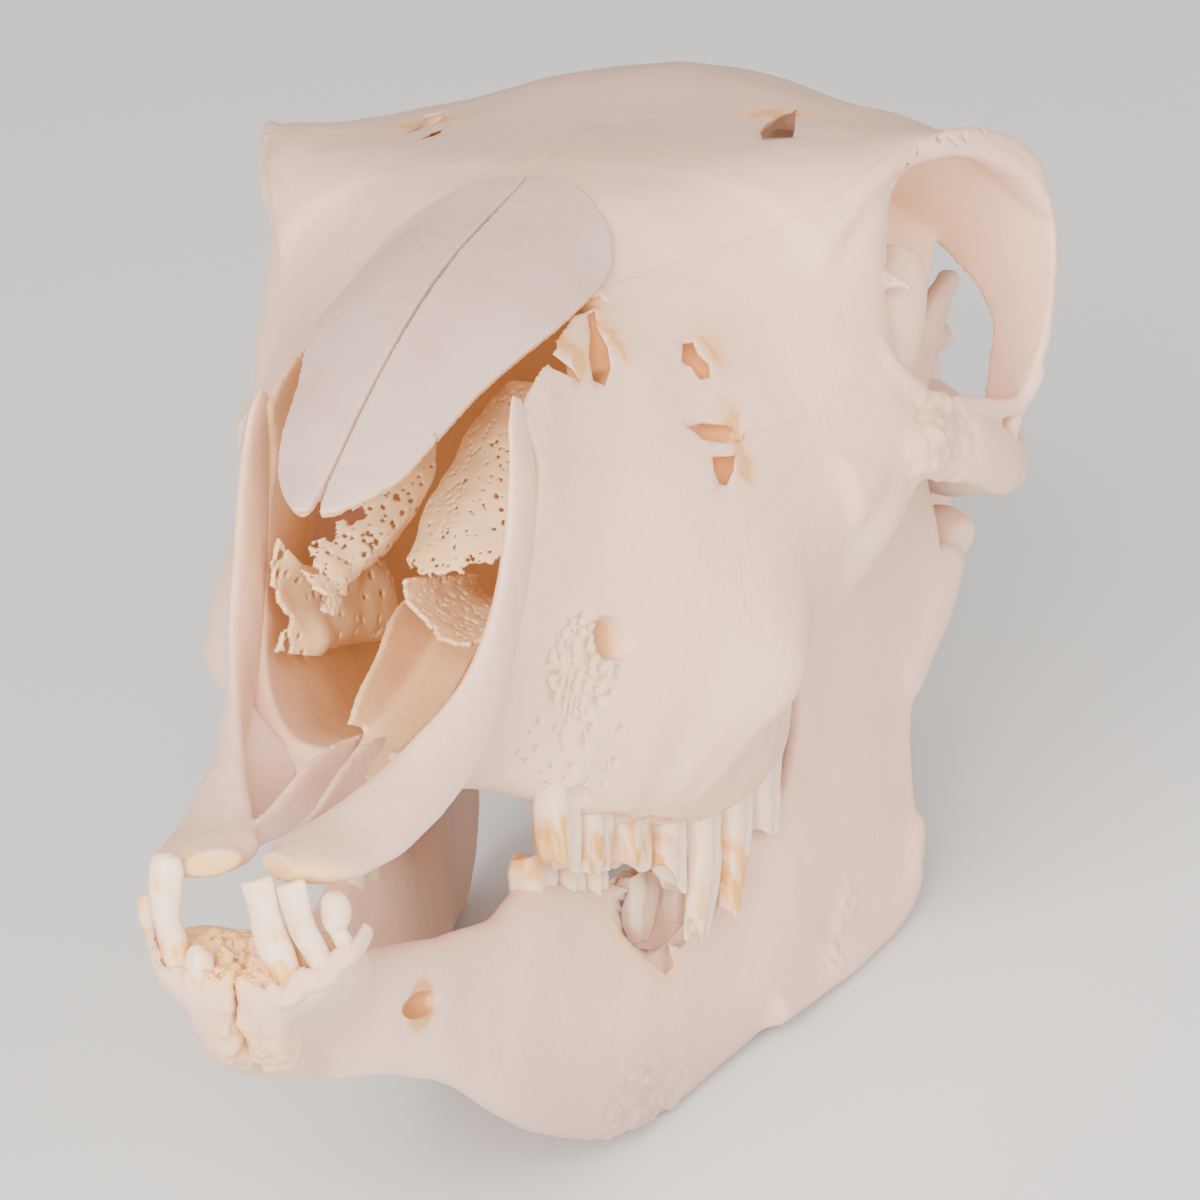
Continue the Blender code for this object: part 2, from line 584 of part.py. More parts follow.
def mandible_pieces(side):
    rings = []
    for y, (x0, x1, z0, z1, keel) in JAW_BODY.items():
        if side < 0:
            z0 = RIGHT_LOWER_BORDER.get(y, z0)
        rings.append([v * Vector((side, 1, 1)) for v in oval_ring(x0, x1, y, z0, z1, keel)])
    return [
        loft("body", rings),
        sheet("branch", JAW_BRANCH, 4.0, side),
        strap("neck", [((36, 63, 12), 8, 4.5), ((38, 69.5, 22), 9, 5), ((38.8, 74, 31), 9, 6)],
              (0, 1, 0), side),
        strap("hinge_head", [((31, 76, 33), 7, 6), ((36.5, 77, 34), 9, 8), ((41, 76, 32.5), 7, 6.5)],
              (0, 1, 0), side),
        strap("angle_border", [((28.5, 24, -31.8), 6, 5.5), ((33, 46, -26), 6, 5.5),
                               ((35, 57.5, -21.8), 6, 5.5), ((35.8, 63.6, -17), 6, 5),
                               ((36, 66.2, -8), 5, 4.5)],
              (0, 0.4, 1), side),
    ]


def mandible(name, side, teeth, tools):
    jaw = fuse(name, mandible_pieces(side), JAW_VOXEL, JAW_TRIANGLES)
    hollows = [ball("chin_foramen", (14.4, -69.8, -17.1), (4, 4, 2.3), side, (0, 0, 30), 8),
               ball("broken_window", WINDOW, (6.5, 10.5, 13), side, (0, 0, 0), 12)]
    return carve(jaw, hollows + [swollen(tooth, JOINT_GAP, "socket") for tooth in teeth], tools)


# Teeth

# Each level of a cheek tooth: z, inner x, outer x, front y, back y, on the left side
UPPER_TEETH = [
    [(10, 16.2, 20, -37.5, -30.5), (6.5, 15.8, 20.4, -38.5, -29.6), (0, 15.8, 20.6, -38, -29.4),
     (-3.8, 16.8, 20.3, -36.5, -29.5)],
    [(8, 15.6, 21, -28, -20.6), (4, 15.2, 21.6, -28.6, -20), (-1, 15.6, 21.6, -28.4, -20),
     (-5, 17, 21.2, -27.4, -20.2)],
    [(7, 15.8, 22.6, -18.6, -9.8), (2, 15.4, 23.2, -19, -9.4), (-2, 16.6, 23.3, -18.8, -9.4),
     (-5, 18.6, 23, -17.6, -9.6)],
    [(6, 17.4, 24.4, -8, -1.2), (1, 17, 25, -8.4, -0.9), (-5, 20, 25.2, -8.2, -1.2),
     (-11.3, 23, 25, -4.8, -2)],
    [(6, 19, 26.4, 0.6, 7.2), (0.6, 18.8, 27.1, 0.1, 7.6), (-7, 23, 27.4, 0.2, 7),
     (-12.5, 24.2, 27.2, -0.4, 4.6), (-18.8, 24.8, 26.6, -2, 0.2)],
    [(8, 21.6, 28.2, 9, 16.6), (2.5, 21.4, 28.8, 8.6, 17), (-5, 25, 29.2, 8.2, 15),
     (-10, 26.2, 29.2, 7, 12.4), (-15.2, 27, 29, 5, 8.4)],
    [(12, 23.6, 29, 18.4, 25.4), (6, 23.4, 29.8, 18, 26), (0, 25.4, 30, 17.8, 25),
     (-4.4, 27.2, 29.8, 18, 22.2)],
]
LOWER_TEETH = [
    [(-10, 11.2, 14.8, -32, -25.8), (-4.4, 10.8, 15.4, -33, -24.8), (-1, 11.4, 15, -32.4, -25.2)],
    [(-11, 12, 15.8, -23.6, -18.6), (-6, 11.6, 16.4, -24, -18.2), (-2.4, 12.2, 16, -23.6, -18.6)],
    [(-13, 12.8, 17, -17, -12.4), (-7, 12.6, 17.4, -17.4, -12), (-4, 13.2, 17, -17, -12.4)],
    [(-19, 15.8, 18.4, -3, 3.6), (-15, 15, 19.2, -4.6, 5.6), (-9, 14.8, 19.4, -5, 6),
     (-6, 15.8, 18.8, -3.6, 5)],
    [(-17, 18, 20.6, 7.6, 12), (-13, 17.4, 21.2, 6.8, 13), (-8, 17.4, 21.2, 6.8, 13.4),
     (-5.5, 18.2, 20.6, 7.6, 12.4)],
]
# (point, width, thickness) from the root to the tip of each front tooth
FRONT_TEETH = {
    "incisor_left_1": [((6.9, -94.5, -14.5), 3.2, 3), ((6.3, -95.8, -9.5), 3.8, 3.6),
                       ((5, -97.6, -3), 4.6, 3.6), ((3.2, -99.2, 3.4), 5, 2.4)],
    "incisor_left_2": [((10.3, -93.5, -12), 2.8, 2.8), ((10, -94.6, -8), 3.2, 3.4),
                       ((9.1, -96.6, -3), 3.5, 3.4), ((7.9, -98.8, 3.2), 3.8, 2.2)],
    "incisor_left_3": [((13.4, -92.4, -9.5), 2.4, 2.4), ((13.3, -93.6, -5.5), 2.6, 2.8),
                       ((13.2, -95.1, -2), 3.6, 3.2), ((13, -96.3, 0.9), 3.2, 2.4)],
    "incisor_right_1": [((-4.5, -97.5, -14), 3.4, 3.2), ((-5, -98.7, -10), 4, 4),
                        ((-5, -98.9, -6.2), 3, 3)],
    "incisor_right_2": [((-9, -96, -12.5), 3.4, 3), ((-9, -97.3, -8), 3.8, 3.4),
                        ((-9.4, -98.2, -3), 4.4, 3.8), ((-9.8, -99.4, 0.5), 4.9, 3.2),
                        ((-9.9, -99.9, 5.4), 4.4, 2.6)],
    "incisor_right_3": [((-12.8, -94.5, -8.5), 2.2, 2.2), ((-13.1, -95.4, -5), 2.4, 2.4),
                        ((-13.4, -96, -0.6), 2.2, 2.2)],
}


def cheek_tooth(name, levels, side):
    """A column of rounded rectangles, with a shallow groove down its outer face."""
    rings = []
    for z, x0, x1, y0, y1 in levels:
        ring = oval_ring(x0, x1, 0, y0, y1, sides=8, squareness=2.6)
        rings.append([Vector((v.x * side, v.z, z)) for v in ring])
    return loft(name, rings, steps=1, round_ring=1)


def front_tooth(name, stations):
    return strap(name, stations, (1, 0.2, 0), 1, sides=8, steps=1)


# Assembly

def stand_on_floor(rest, things):
    """Moves the frame so that its things stand on z = 0, centred over the origin."""
    tip = rest.rotation_euler.to_matrix()
    places = [tip @ vert.co for thing in things for vert in thing.data.vertices]
    low = [min(place[i] for place in places) for i in range(3)]
    high = [max(place[i] for place in places) for i in range(3)]
    rest.location = (-(low[0] + high[0]) / 2, -(low[1] + high[1]) / 2, -low[2])


def main():
    clear_scene()
    parts = collection("sheep_skull")
    tools = collection("cutters")
    bone = material("bone", BONE, 0.6)
    nasal_bone = material("nasal_bone", NASAL_BONE, 0.5)
    inner_bone = material("inner_bone", INNER_BONE, 0.65)
    enamel = material("tooth", TOOTH, 0.35)
    made = []
    uppers, fronts = [], [front_tooth(name, rows) for name, rows in FRONT_TEETH.items()]
    lowers = {}
    for word, side in (("left", 1), ("right", -1)):
        uppers += [cheek_tooth(f"upper_tooth_{word}_{i + 1}", rows, side)
                   for i, rows in enumerate(UPPER_TEETH)]
        lowers[word] = [cheek_tooth(f"lower_tooth_{word}_{i + 1}", rows, side)
                        for i, rows in enumerate(LOWER_TEETH)]
        rooted = lowers[word] + [tooth for tooth in fronts if word in tooth.name]
        made.append((mandible(f"mandible_{word}", side, rooted, tools), bone))
    nasals = [nasal("nasal_left", 1), nasal("nasal_right", -1)]
    jaws = [premaxilla("premaxilla_left", 1), premaxilla("premaxilla_right", -1)]
    scrolls = [concha("concha_left", 1), concha("concha_right", -1), vomer("vomer")]
    skull = fuse("cranium", cranium_pieces(), CRANIUM_VOXEL, CRANIUM_TRIANGLES, 4,
                 cranium_hollows(), tools)
    seats = [nasal_headroom(1), nasal_headroom(-1)]
    seats += [swollen(piece, JOINT_GAP, "seat") for piece in nasals + jaws + uppers]
    made.append((carve(skull, cranium_openings() + seats, tools), bone))
    made += [(piece, nasal_bone) for piece in nasals]
    made += [(piece, bone) for piece in jaws]
    made += [(piece, inner_bone) for piece in scrolls]
    made += [(piece, enamel) for piece in uppers + fronts + lowers["left"] + lowers["right"]]

    rest = bpy.data.objects.new("rest_frame", None)
    parts.objects.link(rest)
    for thing, finish in made:
        for group in list(thing.users_collection):
            group.objects.unlink(thing)
        parts.objects.link(thing)
        thing.data.materials.clear()
        thing.data.materials.append(finish)
        thing.parent = rest
    rest.rotation_euler = (-SKULL_PITCH, 0, 0)
    stand_on_floor(rest, [thing for thing, _ in made])


main()
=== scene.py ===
"""Sheep skull with both halves of its lower jaw, dressed for show.

Shapes are worked in millimetres in the skull's own frame: +X is the animal's left, +Y runs to
the back of the head, +Z is up, and the chewing surface of the upper teeth lies near z = 0.
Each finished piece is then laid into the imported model's metres by TO_WORLD.
"""
import math

import bpy
import numpy as np
from bpy.props import FloatProperty, FloatVectorProperty, PointerProperty
from mathutils import Matrix, Vector


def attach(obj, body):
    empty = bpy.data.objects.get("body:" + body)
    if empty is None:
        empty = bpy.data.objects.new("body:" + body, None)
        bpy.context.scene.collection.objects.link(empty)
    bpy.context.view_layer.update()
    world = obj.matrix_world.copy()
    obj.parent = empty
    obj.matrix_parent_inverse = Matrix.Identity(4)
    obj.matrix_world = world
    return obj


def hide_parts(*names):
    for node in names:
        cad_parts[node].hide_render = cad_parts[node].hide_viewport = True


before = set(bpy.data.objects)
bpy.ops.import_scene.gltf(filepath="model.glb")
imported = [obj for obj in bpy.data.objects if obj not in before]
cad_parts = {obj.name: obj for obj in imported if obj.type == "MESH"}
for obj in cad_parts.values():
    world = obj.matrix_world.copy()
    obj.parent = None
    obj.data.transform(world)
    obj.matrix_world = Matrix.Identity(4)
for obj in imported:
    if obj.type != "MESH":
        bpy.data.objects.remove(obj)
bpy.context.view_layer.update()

bl_info = {
    "name": "Sheep skull",
    "version": (1, 0, 0),
    "blender": (4, 5, 0),
    "location": "3D View > Sidebar > Skull",
    "description": "Builds the bones and teeth of a young sheep's skull and lights them",
    "category": "Object",
}

# The skull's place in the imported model
PITCH = math.radians(-18.9)
PLACE_MM = (0.0, -18.57, 42.558)
MM = 0.001
TO_WORLD = (Matrix.Translation(Vector(PLACE_MM) * MM) @ Matrix.Rotation(PITCH, 4, "X")
            @ Matrix.Scale(MM, 4))

# The camera, fitted to the skull's landmarks
VIEW_TURN = math.radians(21.0)
VIEW_RISE = math.radians(6.0)
VIEW_DISTANCE = 830.0
VIEW_TARGET = Vector((11.15, -0.82, 22.32))
VIEW_FOCUS = 5920.0                   # focal length in pixels of the 1200 pixel frame
VIEW_CENTRE = (596.4, 650.8)
FRAME_PIXELS = 1200
SENSOR_MM = 36.0
TO_CAMERA = Vector((math.sin(VIEW_TURN) * math.cos(VIEW_RISE),
                    -math.cos(VIEW_TURN) * math.cos(VIEW_RISE), math.sin(VIEW_RISE)))
VIEW_RIGHT = Vector((math.cos(VIEW_TURN), math.sin(VIEW_TURN), 0))
VIEW_UP = TO_CAMERA.cross(VIEW_RIGHT)

# The studio, in metres: each lamp's place and width, and the point that the lamps face
FLOOR_METRES = 6
WARM_LIGHT = (1.0, 0.87, 0.76)
LAMPS = {"key": ((0.05, -1.0, 0.62), 1.0), "fill": ((0.95, -0.5, 0.5), 0.9)}
LAMPS_FACE = Vector((0, 0, 0.06))

# Mesh sizes in mm of the cores that thin parts are welded to, and triangles that a piece may keep
CRANIUM_CORE_GRAIN = 0.8
JAW_CORE_GRAIN = 0.7
CRANIUM_TRIANGLES = 180000
JAW_TRIANGLES = 120000
THIN_BONE_TRIANGLES = 40000

SIDES = (("left", 1), ("right", -1))
FAR = 99.0                            # stands for no seam or pore anywhere near


# Settings that a user would change

class SkullSizes(bpy.types.PropertyGroup):
    cranium_grain: FloatProperty(name="Cranium grain", description="Mesh size of the cranium in mm",
                                 default=0.62, min=0.4, max=2.0)
    jaw_grain: FloatProperty(name="Jaw grain", description="Mesh size of the lower jaw in mm",
                             default=0.5, min=0.4, max=2.0)
    thin_grain: FloatProperty(name="Thin bone grain", description="Mesh size of the thin bones in mm",
                              default=0.36, min=0.3, max=1.0)
    orbit_wall: FloatProperty(name="Orbit wall", description="Thickness of the orbit's rim in mm",
                              default=2.0, min=1.0, max=4.0)
    nasal_wall: FloatProperty(name="Nasal wall", description="Thickness of a nasal bone in mm",
                              default=1.5, min=0.8, max=2.2)
    scroll_wall: FloatProperty(name="Scroll wall", description="Thickness of the nose scrolls in mm",
                               default=0.7, min=0.4, max=1.8)


class SkullColours(bpy.types.PropertyGroup):
    bone: FloatVectorProperty(name="Bone", description="Outer bone", subtype="COLOR",
                              default=(0.82, 0.59, 0.48))
    # Partly the nasal plates' own tone and partly painted shade: a darker, greyer copy of the bone
    # colour for the upward-facing nose
    nasal: FloatVectorProperty(name="Nasal bone", description="Paler plates on the nose",
                               subtype="COLOR", default=(0.71, 0.54, 0.50))
    inner: FloatVectorProperty(name="Inner bone", description="Thin bone inside the nose",
                               subtype="COLOR", default=(0.90, 0.65, 0.40))
    # Painted shade and glow: the warm colour painted into the recesses of the bone, standing for
    # their shade and the light bounced inside them
    recess_shade: FloatVectorProperty(name="Hollow", description="Bone deep inside the openings",
                                subtype="COLOR", default=(0.80, 0.48, 0.22))
    enamel: FloatVectorProperty(name="Enamel", description="Clean tooth", subtype="COLOR",
                                default=(0.90, 0.74, 0.61))
    tartar: FloatVectorProperty(name="Tartar", description="Stain on the cheek teeth",
                                subtype="COLOR", default=(0.78, 0.38, 0.08))
    floor: FloatVectorProperty(name="Floor", description="Studio floor", subtype="COLOR",
                               default=(0.80, 0.89, 0.97))


class StageSettings(bpy.types.PropertyGroup):
    key_power: FloatProperty(name="Key light", description="Power of the main light", default=27.0,
                             min=0.0, unit="POWER")
    fill_power: FloatProperty(name="Fill light", description="Power of the fill light",
                              default=9.0, min=0.0, unit="POWER")
    sky_strength: FloatProperty(name="Room light", description="Strength of the even room light",
                                default=0.85, min=0.0)


# Curves and noise

def spline(points, steps, closed=False):
    """A smooth curve through the points of the first axis of an array."""
    p = np.asarray(points, float)
    if closed:
        a, b, c, d = np.roll(p, 1, 0), p, np.roll(p, -1, 0), np.roll(p, -2, 0)
    else:
        run = np.concatenate([[2 * p[0] - p[1]], p, [2 * p[-1] - p[-2]]])
        a, b, c, d = run[:-3], run[1:-2], run[2:-1], run[3:]
    t = (np.arange(steps) / steps).reshape([1, steps] + [1] * (p.ndim - 1))
    a, b, c, d = (part[:, None] for part in (a, b, c, d))
    out = 0.5 * (2 * b + (c - a) * t + (2 * a - 5 * b + 4 * c - d) * t ** 2
                 + (3 * b - a - 3 * c + d) * t ** 3)
    out = out.reshape((-1,) + p.shape[1:])
    return out if closed else np.concatenate([out, p[-1:]])


def even_spline(points, spacing):
    """A smooth path through the points, with its own points evenly spaced."""
    fine = spline(points, 24)
    gaps = np.linalg.norm(np.diff(fine, axis=0), axis=1)
    run = np.concatenate([[0], np.cumsum(gaps)])
    count = max(2, int(run[-1] / spacing) + 1)
    at = np.linspace(0, run[-1], count)
    return np.stack([np.interp(at, run, fine[:, i]) for i in range(fine.shape[1])], 1)


def fade(values, start, end):
    """0 before start and 1 after end, smoothly between."""
    t = np.clip((np.asarray(values, float) - start) / (end - start), 0, 1)
    return t * t * (3 - 2 * t)


NOISE_CELLS = 32
NOISE_SHIFT = 100.5                   # keeps the numbers of the cells above zero


def uneven(points, size, seed=0, layers=1):
    """Smooth random values between about -1 and 1, in lumps of the given size."""
    total = np.zeros(len(points))
    weight = 1.0
    for layer in range(layers):
        lattice = np.random.default_rng(seed + layer).uniform(-1, 1, (NOISE_CELLS,) * 3)
        q = np.asarray(points) / (size / 2 ** layer) + NOISE_SHIFT
        cell = np.floor(q).astype(int)
        f = q - cell
        f = f * f * (3 - 2 * f)
        value = 0
        for corner in np.ndindex(2, 2, 2):
            i, j, k = ((cell + corner) % NOISE_CELLS).T
            share = np.prod(np.where(corner, f, 1 - f), axis=1)
            value = value + lattice[i, j, k] * share
        total += value * weight
        weight *= 0.5
    return total


def unit(values):
    """Values spread from 0 at the least to 1 at the most."""
    return (values - values.min()) / (values.max() - values.min())


def inside_egg(points, centre, radii, inner, outer):
    """1 well inside an egg, fading to 0 between two shares of its radii."""
    return 1 - fade(np.linalg.norm((points - centre) / radii, axis=1), inner, outer)


# Handling meshes

def pick(*pieces):
    """Selects only these pieces, the first of them active."""
    bpy.ops.object.select_all(action="DESELECT")
    for piece in pieces:
        piece.select_set(True)
    bpy.context.view_layer.objects.active = pieces[0]


def modify(piece, kind, **settings):
    """Applies one modifier to a piece."""
    pick(piece)
    step = piece.modifiers.new("step", kind)
    for key, value in settings.items():
        setattr(step, key, value)
    bpy.ops.object.modifier_apply(modifier=step.name)
    return piece


def in_edit(piece, *steps):
    """Runs edit-mode steps on the whole of a piece."""
    pick(piece)
    bpy.ops.object.mode_set(mode="EDIT")
    bpy.ops.mesh.select_all(action="SELECT")
    for step in steps:
        step()
    bpy.ops.object.mode_set(mode="OBJECT")
    return piece


def close_up():
    """Closes a bent grid into a solid with its faces outwards."""
    bpy.ops.mesh.remove_doubles(threshold=0.001)
    bpy.ops.mesh.fill_holes(sides=0)
    bpy.ops.mesh.quads_convert_to_tris()
    bpy.ops.mesh.normals_make_consistent(inside=False)


def skin(name, rows, closed=False):
    """A grid bent to rows of points; a closed one is joined round its rows and capped."""
    rows = np.asarray(rows, float)
    if closed:
        rows = np.concatenate([rows, rows[:, :1]], axis=1)
    bpy.ops.object.select_all(action="DESELECT")
    bpy.ops.mesh.primitive_grid_add(x_subdivisions=rows.shape[1] - 1,
                                    y_subdivisions=rows.shape[0] - 1, size=1)
    piece = bpy.context.object
    piece.name = name
    piece.data.vertices.foreach_set("co", rows.reshape(-1))
    piece.data.update()
    if closed:
        in_edit(piece, close_up)
    return piece


def read(items, what):
    """A triple of numbers of each of a mesh's items."""
    out = np.empty(len(items) * 3, np.float32)
    items.foreach_get(what, out)
    return out.reshape(-1, 3).astype(float)


def places(piece):
    return read(piece.data.vertices, "co")


def surface(piece):
    """Where each point of a piece is, and which way it faces."""
    return places(piece), read(piece.data.vertices, "normal")


def move_to(piece, points):
    piece.data.vertices.foreach_set("co", np.asarray(points, np.float32).reshape(-1))
    piece.data.update()


def push_out(piece, heights):
    """Moves each point outwards by its own height."""
    points, normals = surface(piece)
    move_to(piece, points + normals * heights[:, None])


def mark(piece, name, values):
    """Stores one number for each point of a piece, for its material to read."""
    layer = piece.data.attributes.get(name)
    if layer is None:
        layer = piece.data.attributes.new(name, "FLOAT", "POINT")
    layer.data.foreach_set("value", np.asarray(values, np.float32))


def flip(points, side):
    """Points of the left side, mirrored to the right where side is -1."""
    return np.asarray(points, float) * (side, 1, 1)


# Solids that the bones are welded from

def loft(name, half_sections):
    """A solid through left half-sections of (x, z), top to bottom, keyed by depth y."""
    rings = []
    for y, half in half_sections.items():
        left = [(x, y, z) for x, z in half]
        right = [(-x, y, z) for x, z in reversed(half[1:-1])]
        rings.append(spline(left + right, 4, closed=True))
    return skin(name, spline(rings, 6), closed=True)


def tube_rings(stations, across, side=1, sides=20, steps=6):
    """Oval rings along stations of (point, width, thickness).

    across is the way the width lies: one direction, or one for each station.
    """
    path = spline(flip([p for p, _, _ in stations], side), steps)
    sizes = spline([(w, t) for _, w, t in stations], steps) / 2
    if np.ndim(across) == 1:
        across = [across] * len(stations)
    ways = spline(flip(across, side), steps)
    ahead = np.gradient(path, axis=0)
    ahead /= np.linalg.norm(ahead, axis=1, keepdims=True)
    wide = ways - ahead * (ways * ahead).sum(1, keepdims=True)
    wide /= np.linalg.norm(wide, axis=1, keepdims=True)
    thick = np.cross(ahead, wide)
    turns = np.arange(sides) * 2 * math.pi / sides
    c, s = np.cos(turns)[None, :, None], np.sin(turns)[None, :, None]
    return (path[:, None] + wide[:, None] * sizes[:, :1, None] * c
            + thick[:, None] * sizes[:, 1:, None] * s)


def strap(name, stations, across, side=1, sides=20, steps=6):
    return skin(name, tube_rings(stations, across, side, sides, steps), closed=True)


def plate(name, rows, thickness, side=1, steps=6, offset=0.0):
    """A curved plate of even thickness through rows of points."""
    rows = spline(flip(rows, side), steps)
    rows = np.swapaxes(spline(np.swapaxes(rows, 0, 1), steps), 0, 1)
    made = skin(name, rows)
    modify(made, "SOLIDIFY", thickness=thickness, offset=offset)
    return in_edit(made, close_up)


def ball(name, centre, radii, side=1, turn=(0, 0, 0), detail=32):
    """An egg of the three given radii, turned by degrees about X, Y and Z."""
    bpy.ops.object.select_all(action="DESELECT")
    x, y, z = (math.radians(angle) for angle in turn)
    bpy.ops.mesh.primitive_uv_sphere_add(
        segments=detail, ring_count=detail // 2, radius=1, scale=radii,
        location=(centre[0] * side, centre[1], centre[2]), rotation=(x, y * side, z * side))
    made = bpy.context.object
    made.name = name
    bpy.ops.object.transform_apply(location=True, rotation=True, scale=True)
    return made


def joined(name, pieces):
    pick(*pieces)
    bpy.ops.object.join()
    whole = bpy.context.object
    whole.name = name
    return whole


def resurface(piece, grain, smoothing):
    """Gives a piece one smooth closed skin of the given mesh size."""
    modify(piece, "REMESH", mode="VOXEL", voxel_size=grain)
    return modify(piece, "SMOOTH", factor=0.5, iterations=smoothing)


def weld(name, pieces, grain, smoothing):
    """Joins overlapping solids into one smooth closed skin."""
    return resurface(joined(name, pieces), grain, smoothing)


def cut(piece, cutters):
    """Takes cutters away from a piece."""
    for cutter in cutters:
        pick(piece)
        step = piece.modifiers.new("cut", "BOOLEAN")
        step.operation = "DIFFERENCE"
        step.solver = "MANIFOLD"
        step.object = cutter
        before = len(piece.data.polygons)
        bpy.ops.object.modifier_apply(modifier=step.name)
        if len(piece.data.polygons) < before * 0.3:
            raise RuntimeError(f"{cutter.name} took too much of {piece.name}")
        bpy.data.objects.remove(cutter, do_unlink=True)
    return piece


def thin_to(piece, triangles):
    """Takes triangles away from a piece that has more than this many."""
    piece.data.calc_loop_triangles()
    count = len(piece.data.loop_triangles)
    if count > triangles:
        modify(piece, "DECIMATE", ratio=triangles / count)
    return piece


def drop_crumbs(piece):
    """Keeps only the largest loose part."""
    pick(piece)
    bpy.ops.mesh.separate(type="LOOSE")
    parts = sorted(bpy.context.selected_objects, key=lambda part: len(part.data.vertices))
    keep = parts.pop()
    name = piece.name
    for part in parts:
        bpy.data.objects.remove(part, do_unlink=True)
    keep.name = name
    return keep


def lumps(name, detail, shapes):
    """One object of many small lumps, each given by its place, turn, radius and scale."""
    made = []
    for place, turn, radius, scale in shapes:
        bpy.ops.object.select_all(action="DESELECT")
        bpy.ops.mesh.primitive_ico_sphere_add(subdivisions=detail, radius=radius, location=place,
                                              rotation=turn, scale=scale)
        made.append(bpy.context.object)
    pick(*made)
    bpy.ops.object.transform_apply(location=True, rotation=True, scale=True)
    return joined(name, made)


def notches(name, path, size, share, seed, depth=3.0):
    """A row of separate thin wedges across a bone's edge, to leave it ragged."""
    draw = np.random.default_rng(seed)
    shapes = []
    for point in even_spline(path, size * 1.5):
        if draw.random() > share:
            continue
        radius = size * draw.uniform(0.25, 0.6)
        place = point + draw.uniform(-0.2, 0.2, 3) * size
        turn = draw.uniform(0, 3, 3)
        width = radius * draw.uniform(0.6, 1.0)
        shapes.append((place, turn, 1, (radius, width, radius * depth * draw.uniform(0.5, 0.9))))
    return lumps(name, 1, shapes)


def pits(name, piece, side, patch, place_seed, shape_seed):
    """Small separate hollows to bite out of a patch of a bone, no two too close."""
    centre, reach, count, smallest, largest = patch
    draw = np.random.default_rng(place_seed)
    points = places(piece)
    near = points[np.linalg.norm((points - flip(centre, side)) / reach, axis=1) < 1]
    kept = []
    for point in near[draw.permutation(len(near))]:
        radius = draw.uniform(smallest, largest)
        if all(np.linalg.norm(point - other) > (radius + size) * 1.15 for other, size in kept):
            kept.append((point, radius))
        if len(kept) == count:
            break
    draw = np.random.default_rng(shape_seed)
    return lumps(name, 2, [(point, draw.uniform(0, 3, 3), radius, (1, *draw.uniform(0.6, 1, 2)))
                           for point, radius in kept])


def gap_on_bone(name, outline, before, beyond):
    """A hole through thin bone, of an outline that lies on its surface, cut along the view."""
    outline = np.asarray(outline, float)
    rows = [outline + np.array(TO_CAMERA) * reach for reach in (-beyond, 0, before)]
    return skin(name, rows, closed=True)


def gap(name, centre, outline, depth):
    """A hole of the given outline, in mm right and up as the camera sees it, through thin bone."""
    centre = Vector(centre)
    rows = [[centre + VIEW_RIGHT * x + VIEW_UP * y + TO_CAMERA * reach for x, y in outline]
            for reach in (-depth, 0, depth)]
    return skin(name, rows, closed=True)


def beside(points, normals, path):
    """Signed distance from a path on the surface, and the plain distance from it."""
    path = even_spline(path, 0.8)
    along = np.gradient(path, axis=0)
    along /= np.linalg.norm(along, axis=1, keepdims=True)
    low, high = path.min(0) - 8, path.max(0) + 8
    near = np.all((points > low) & (points < high), axis=1)
    signed = np.full(len(points), FAR)
    plain = np.full(len(points), FAR)
    some = points[near]
    if len(some):
        gaps = np.linalg.norm(some[:, None] - path[None], axis=2)
        nearest = gaps.argmin(1)
        plain[near] = gaps.min(1)
        over = np.cross(along[nearest], normals[near])
        over /= np.linalg.norm(over, axis=1, keepdims=True) + 1e-6
        signed[near] = ((some - path[nearest]) * over).sum(1)
        ends = (nearest == 0) | (nearest == len(path) - 1)
        plain[np.flatnonzero(near)[ends]] += 1.2
    return signed, plain


def finish_piece(piece, finish, slot, *nodes):
    """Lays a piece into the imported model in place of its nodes."""
    piece.data.transform(TO_WORLD)
    piece.data.update()
    piece.data.materials.clear()
    piece.data.materials.append(finish)
    pick(piece)
    bpy.ops.object.shade_smooth()
    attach(piece, "root")
    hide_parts(*nodes)
    return piece


# Materials

class Value:
    """A shader socket that can stand in a sum."""

    def __init__(self, finish, socket):
        self.finish, self.socket = finish, socket

    def maths(self, operation, *others):
        return self.finish.node("ShaderNodeMath", {"operation": operation},
                                dict(enumerate((self,) + others)))

    def __add__(self, other):
        return self.maths("ADD", other)

    def __sub__(self, other):
        return self.maths("SUBTRACT", other)

    def __mul__(self, other):
        return self.maths("MULTIPLY", other)

    def __rsub__(self, other):
        return self.finish.node("ShaderNodeMath", {"operation": "SUBTRACT"}, {0: other, 1: self})

    __radd__ = __add__
    __rmul__ = __mul__

    def size(self):
        return self.maths("ABSOLUTE")

    def between(self, start, end):
        """0 at start and 1 at end, smoothly between."""
        return self.finish.node("ShaderNodeMapRange", {"interpolation_type": "SMOOTHSTEP"},
                                {"Value": self, "From Min": start, "From Max": end})


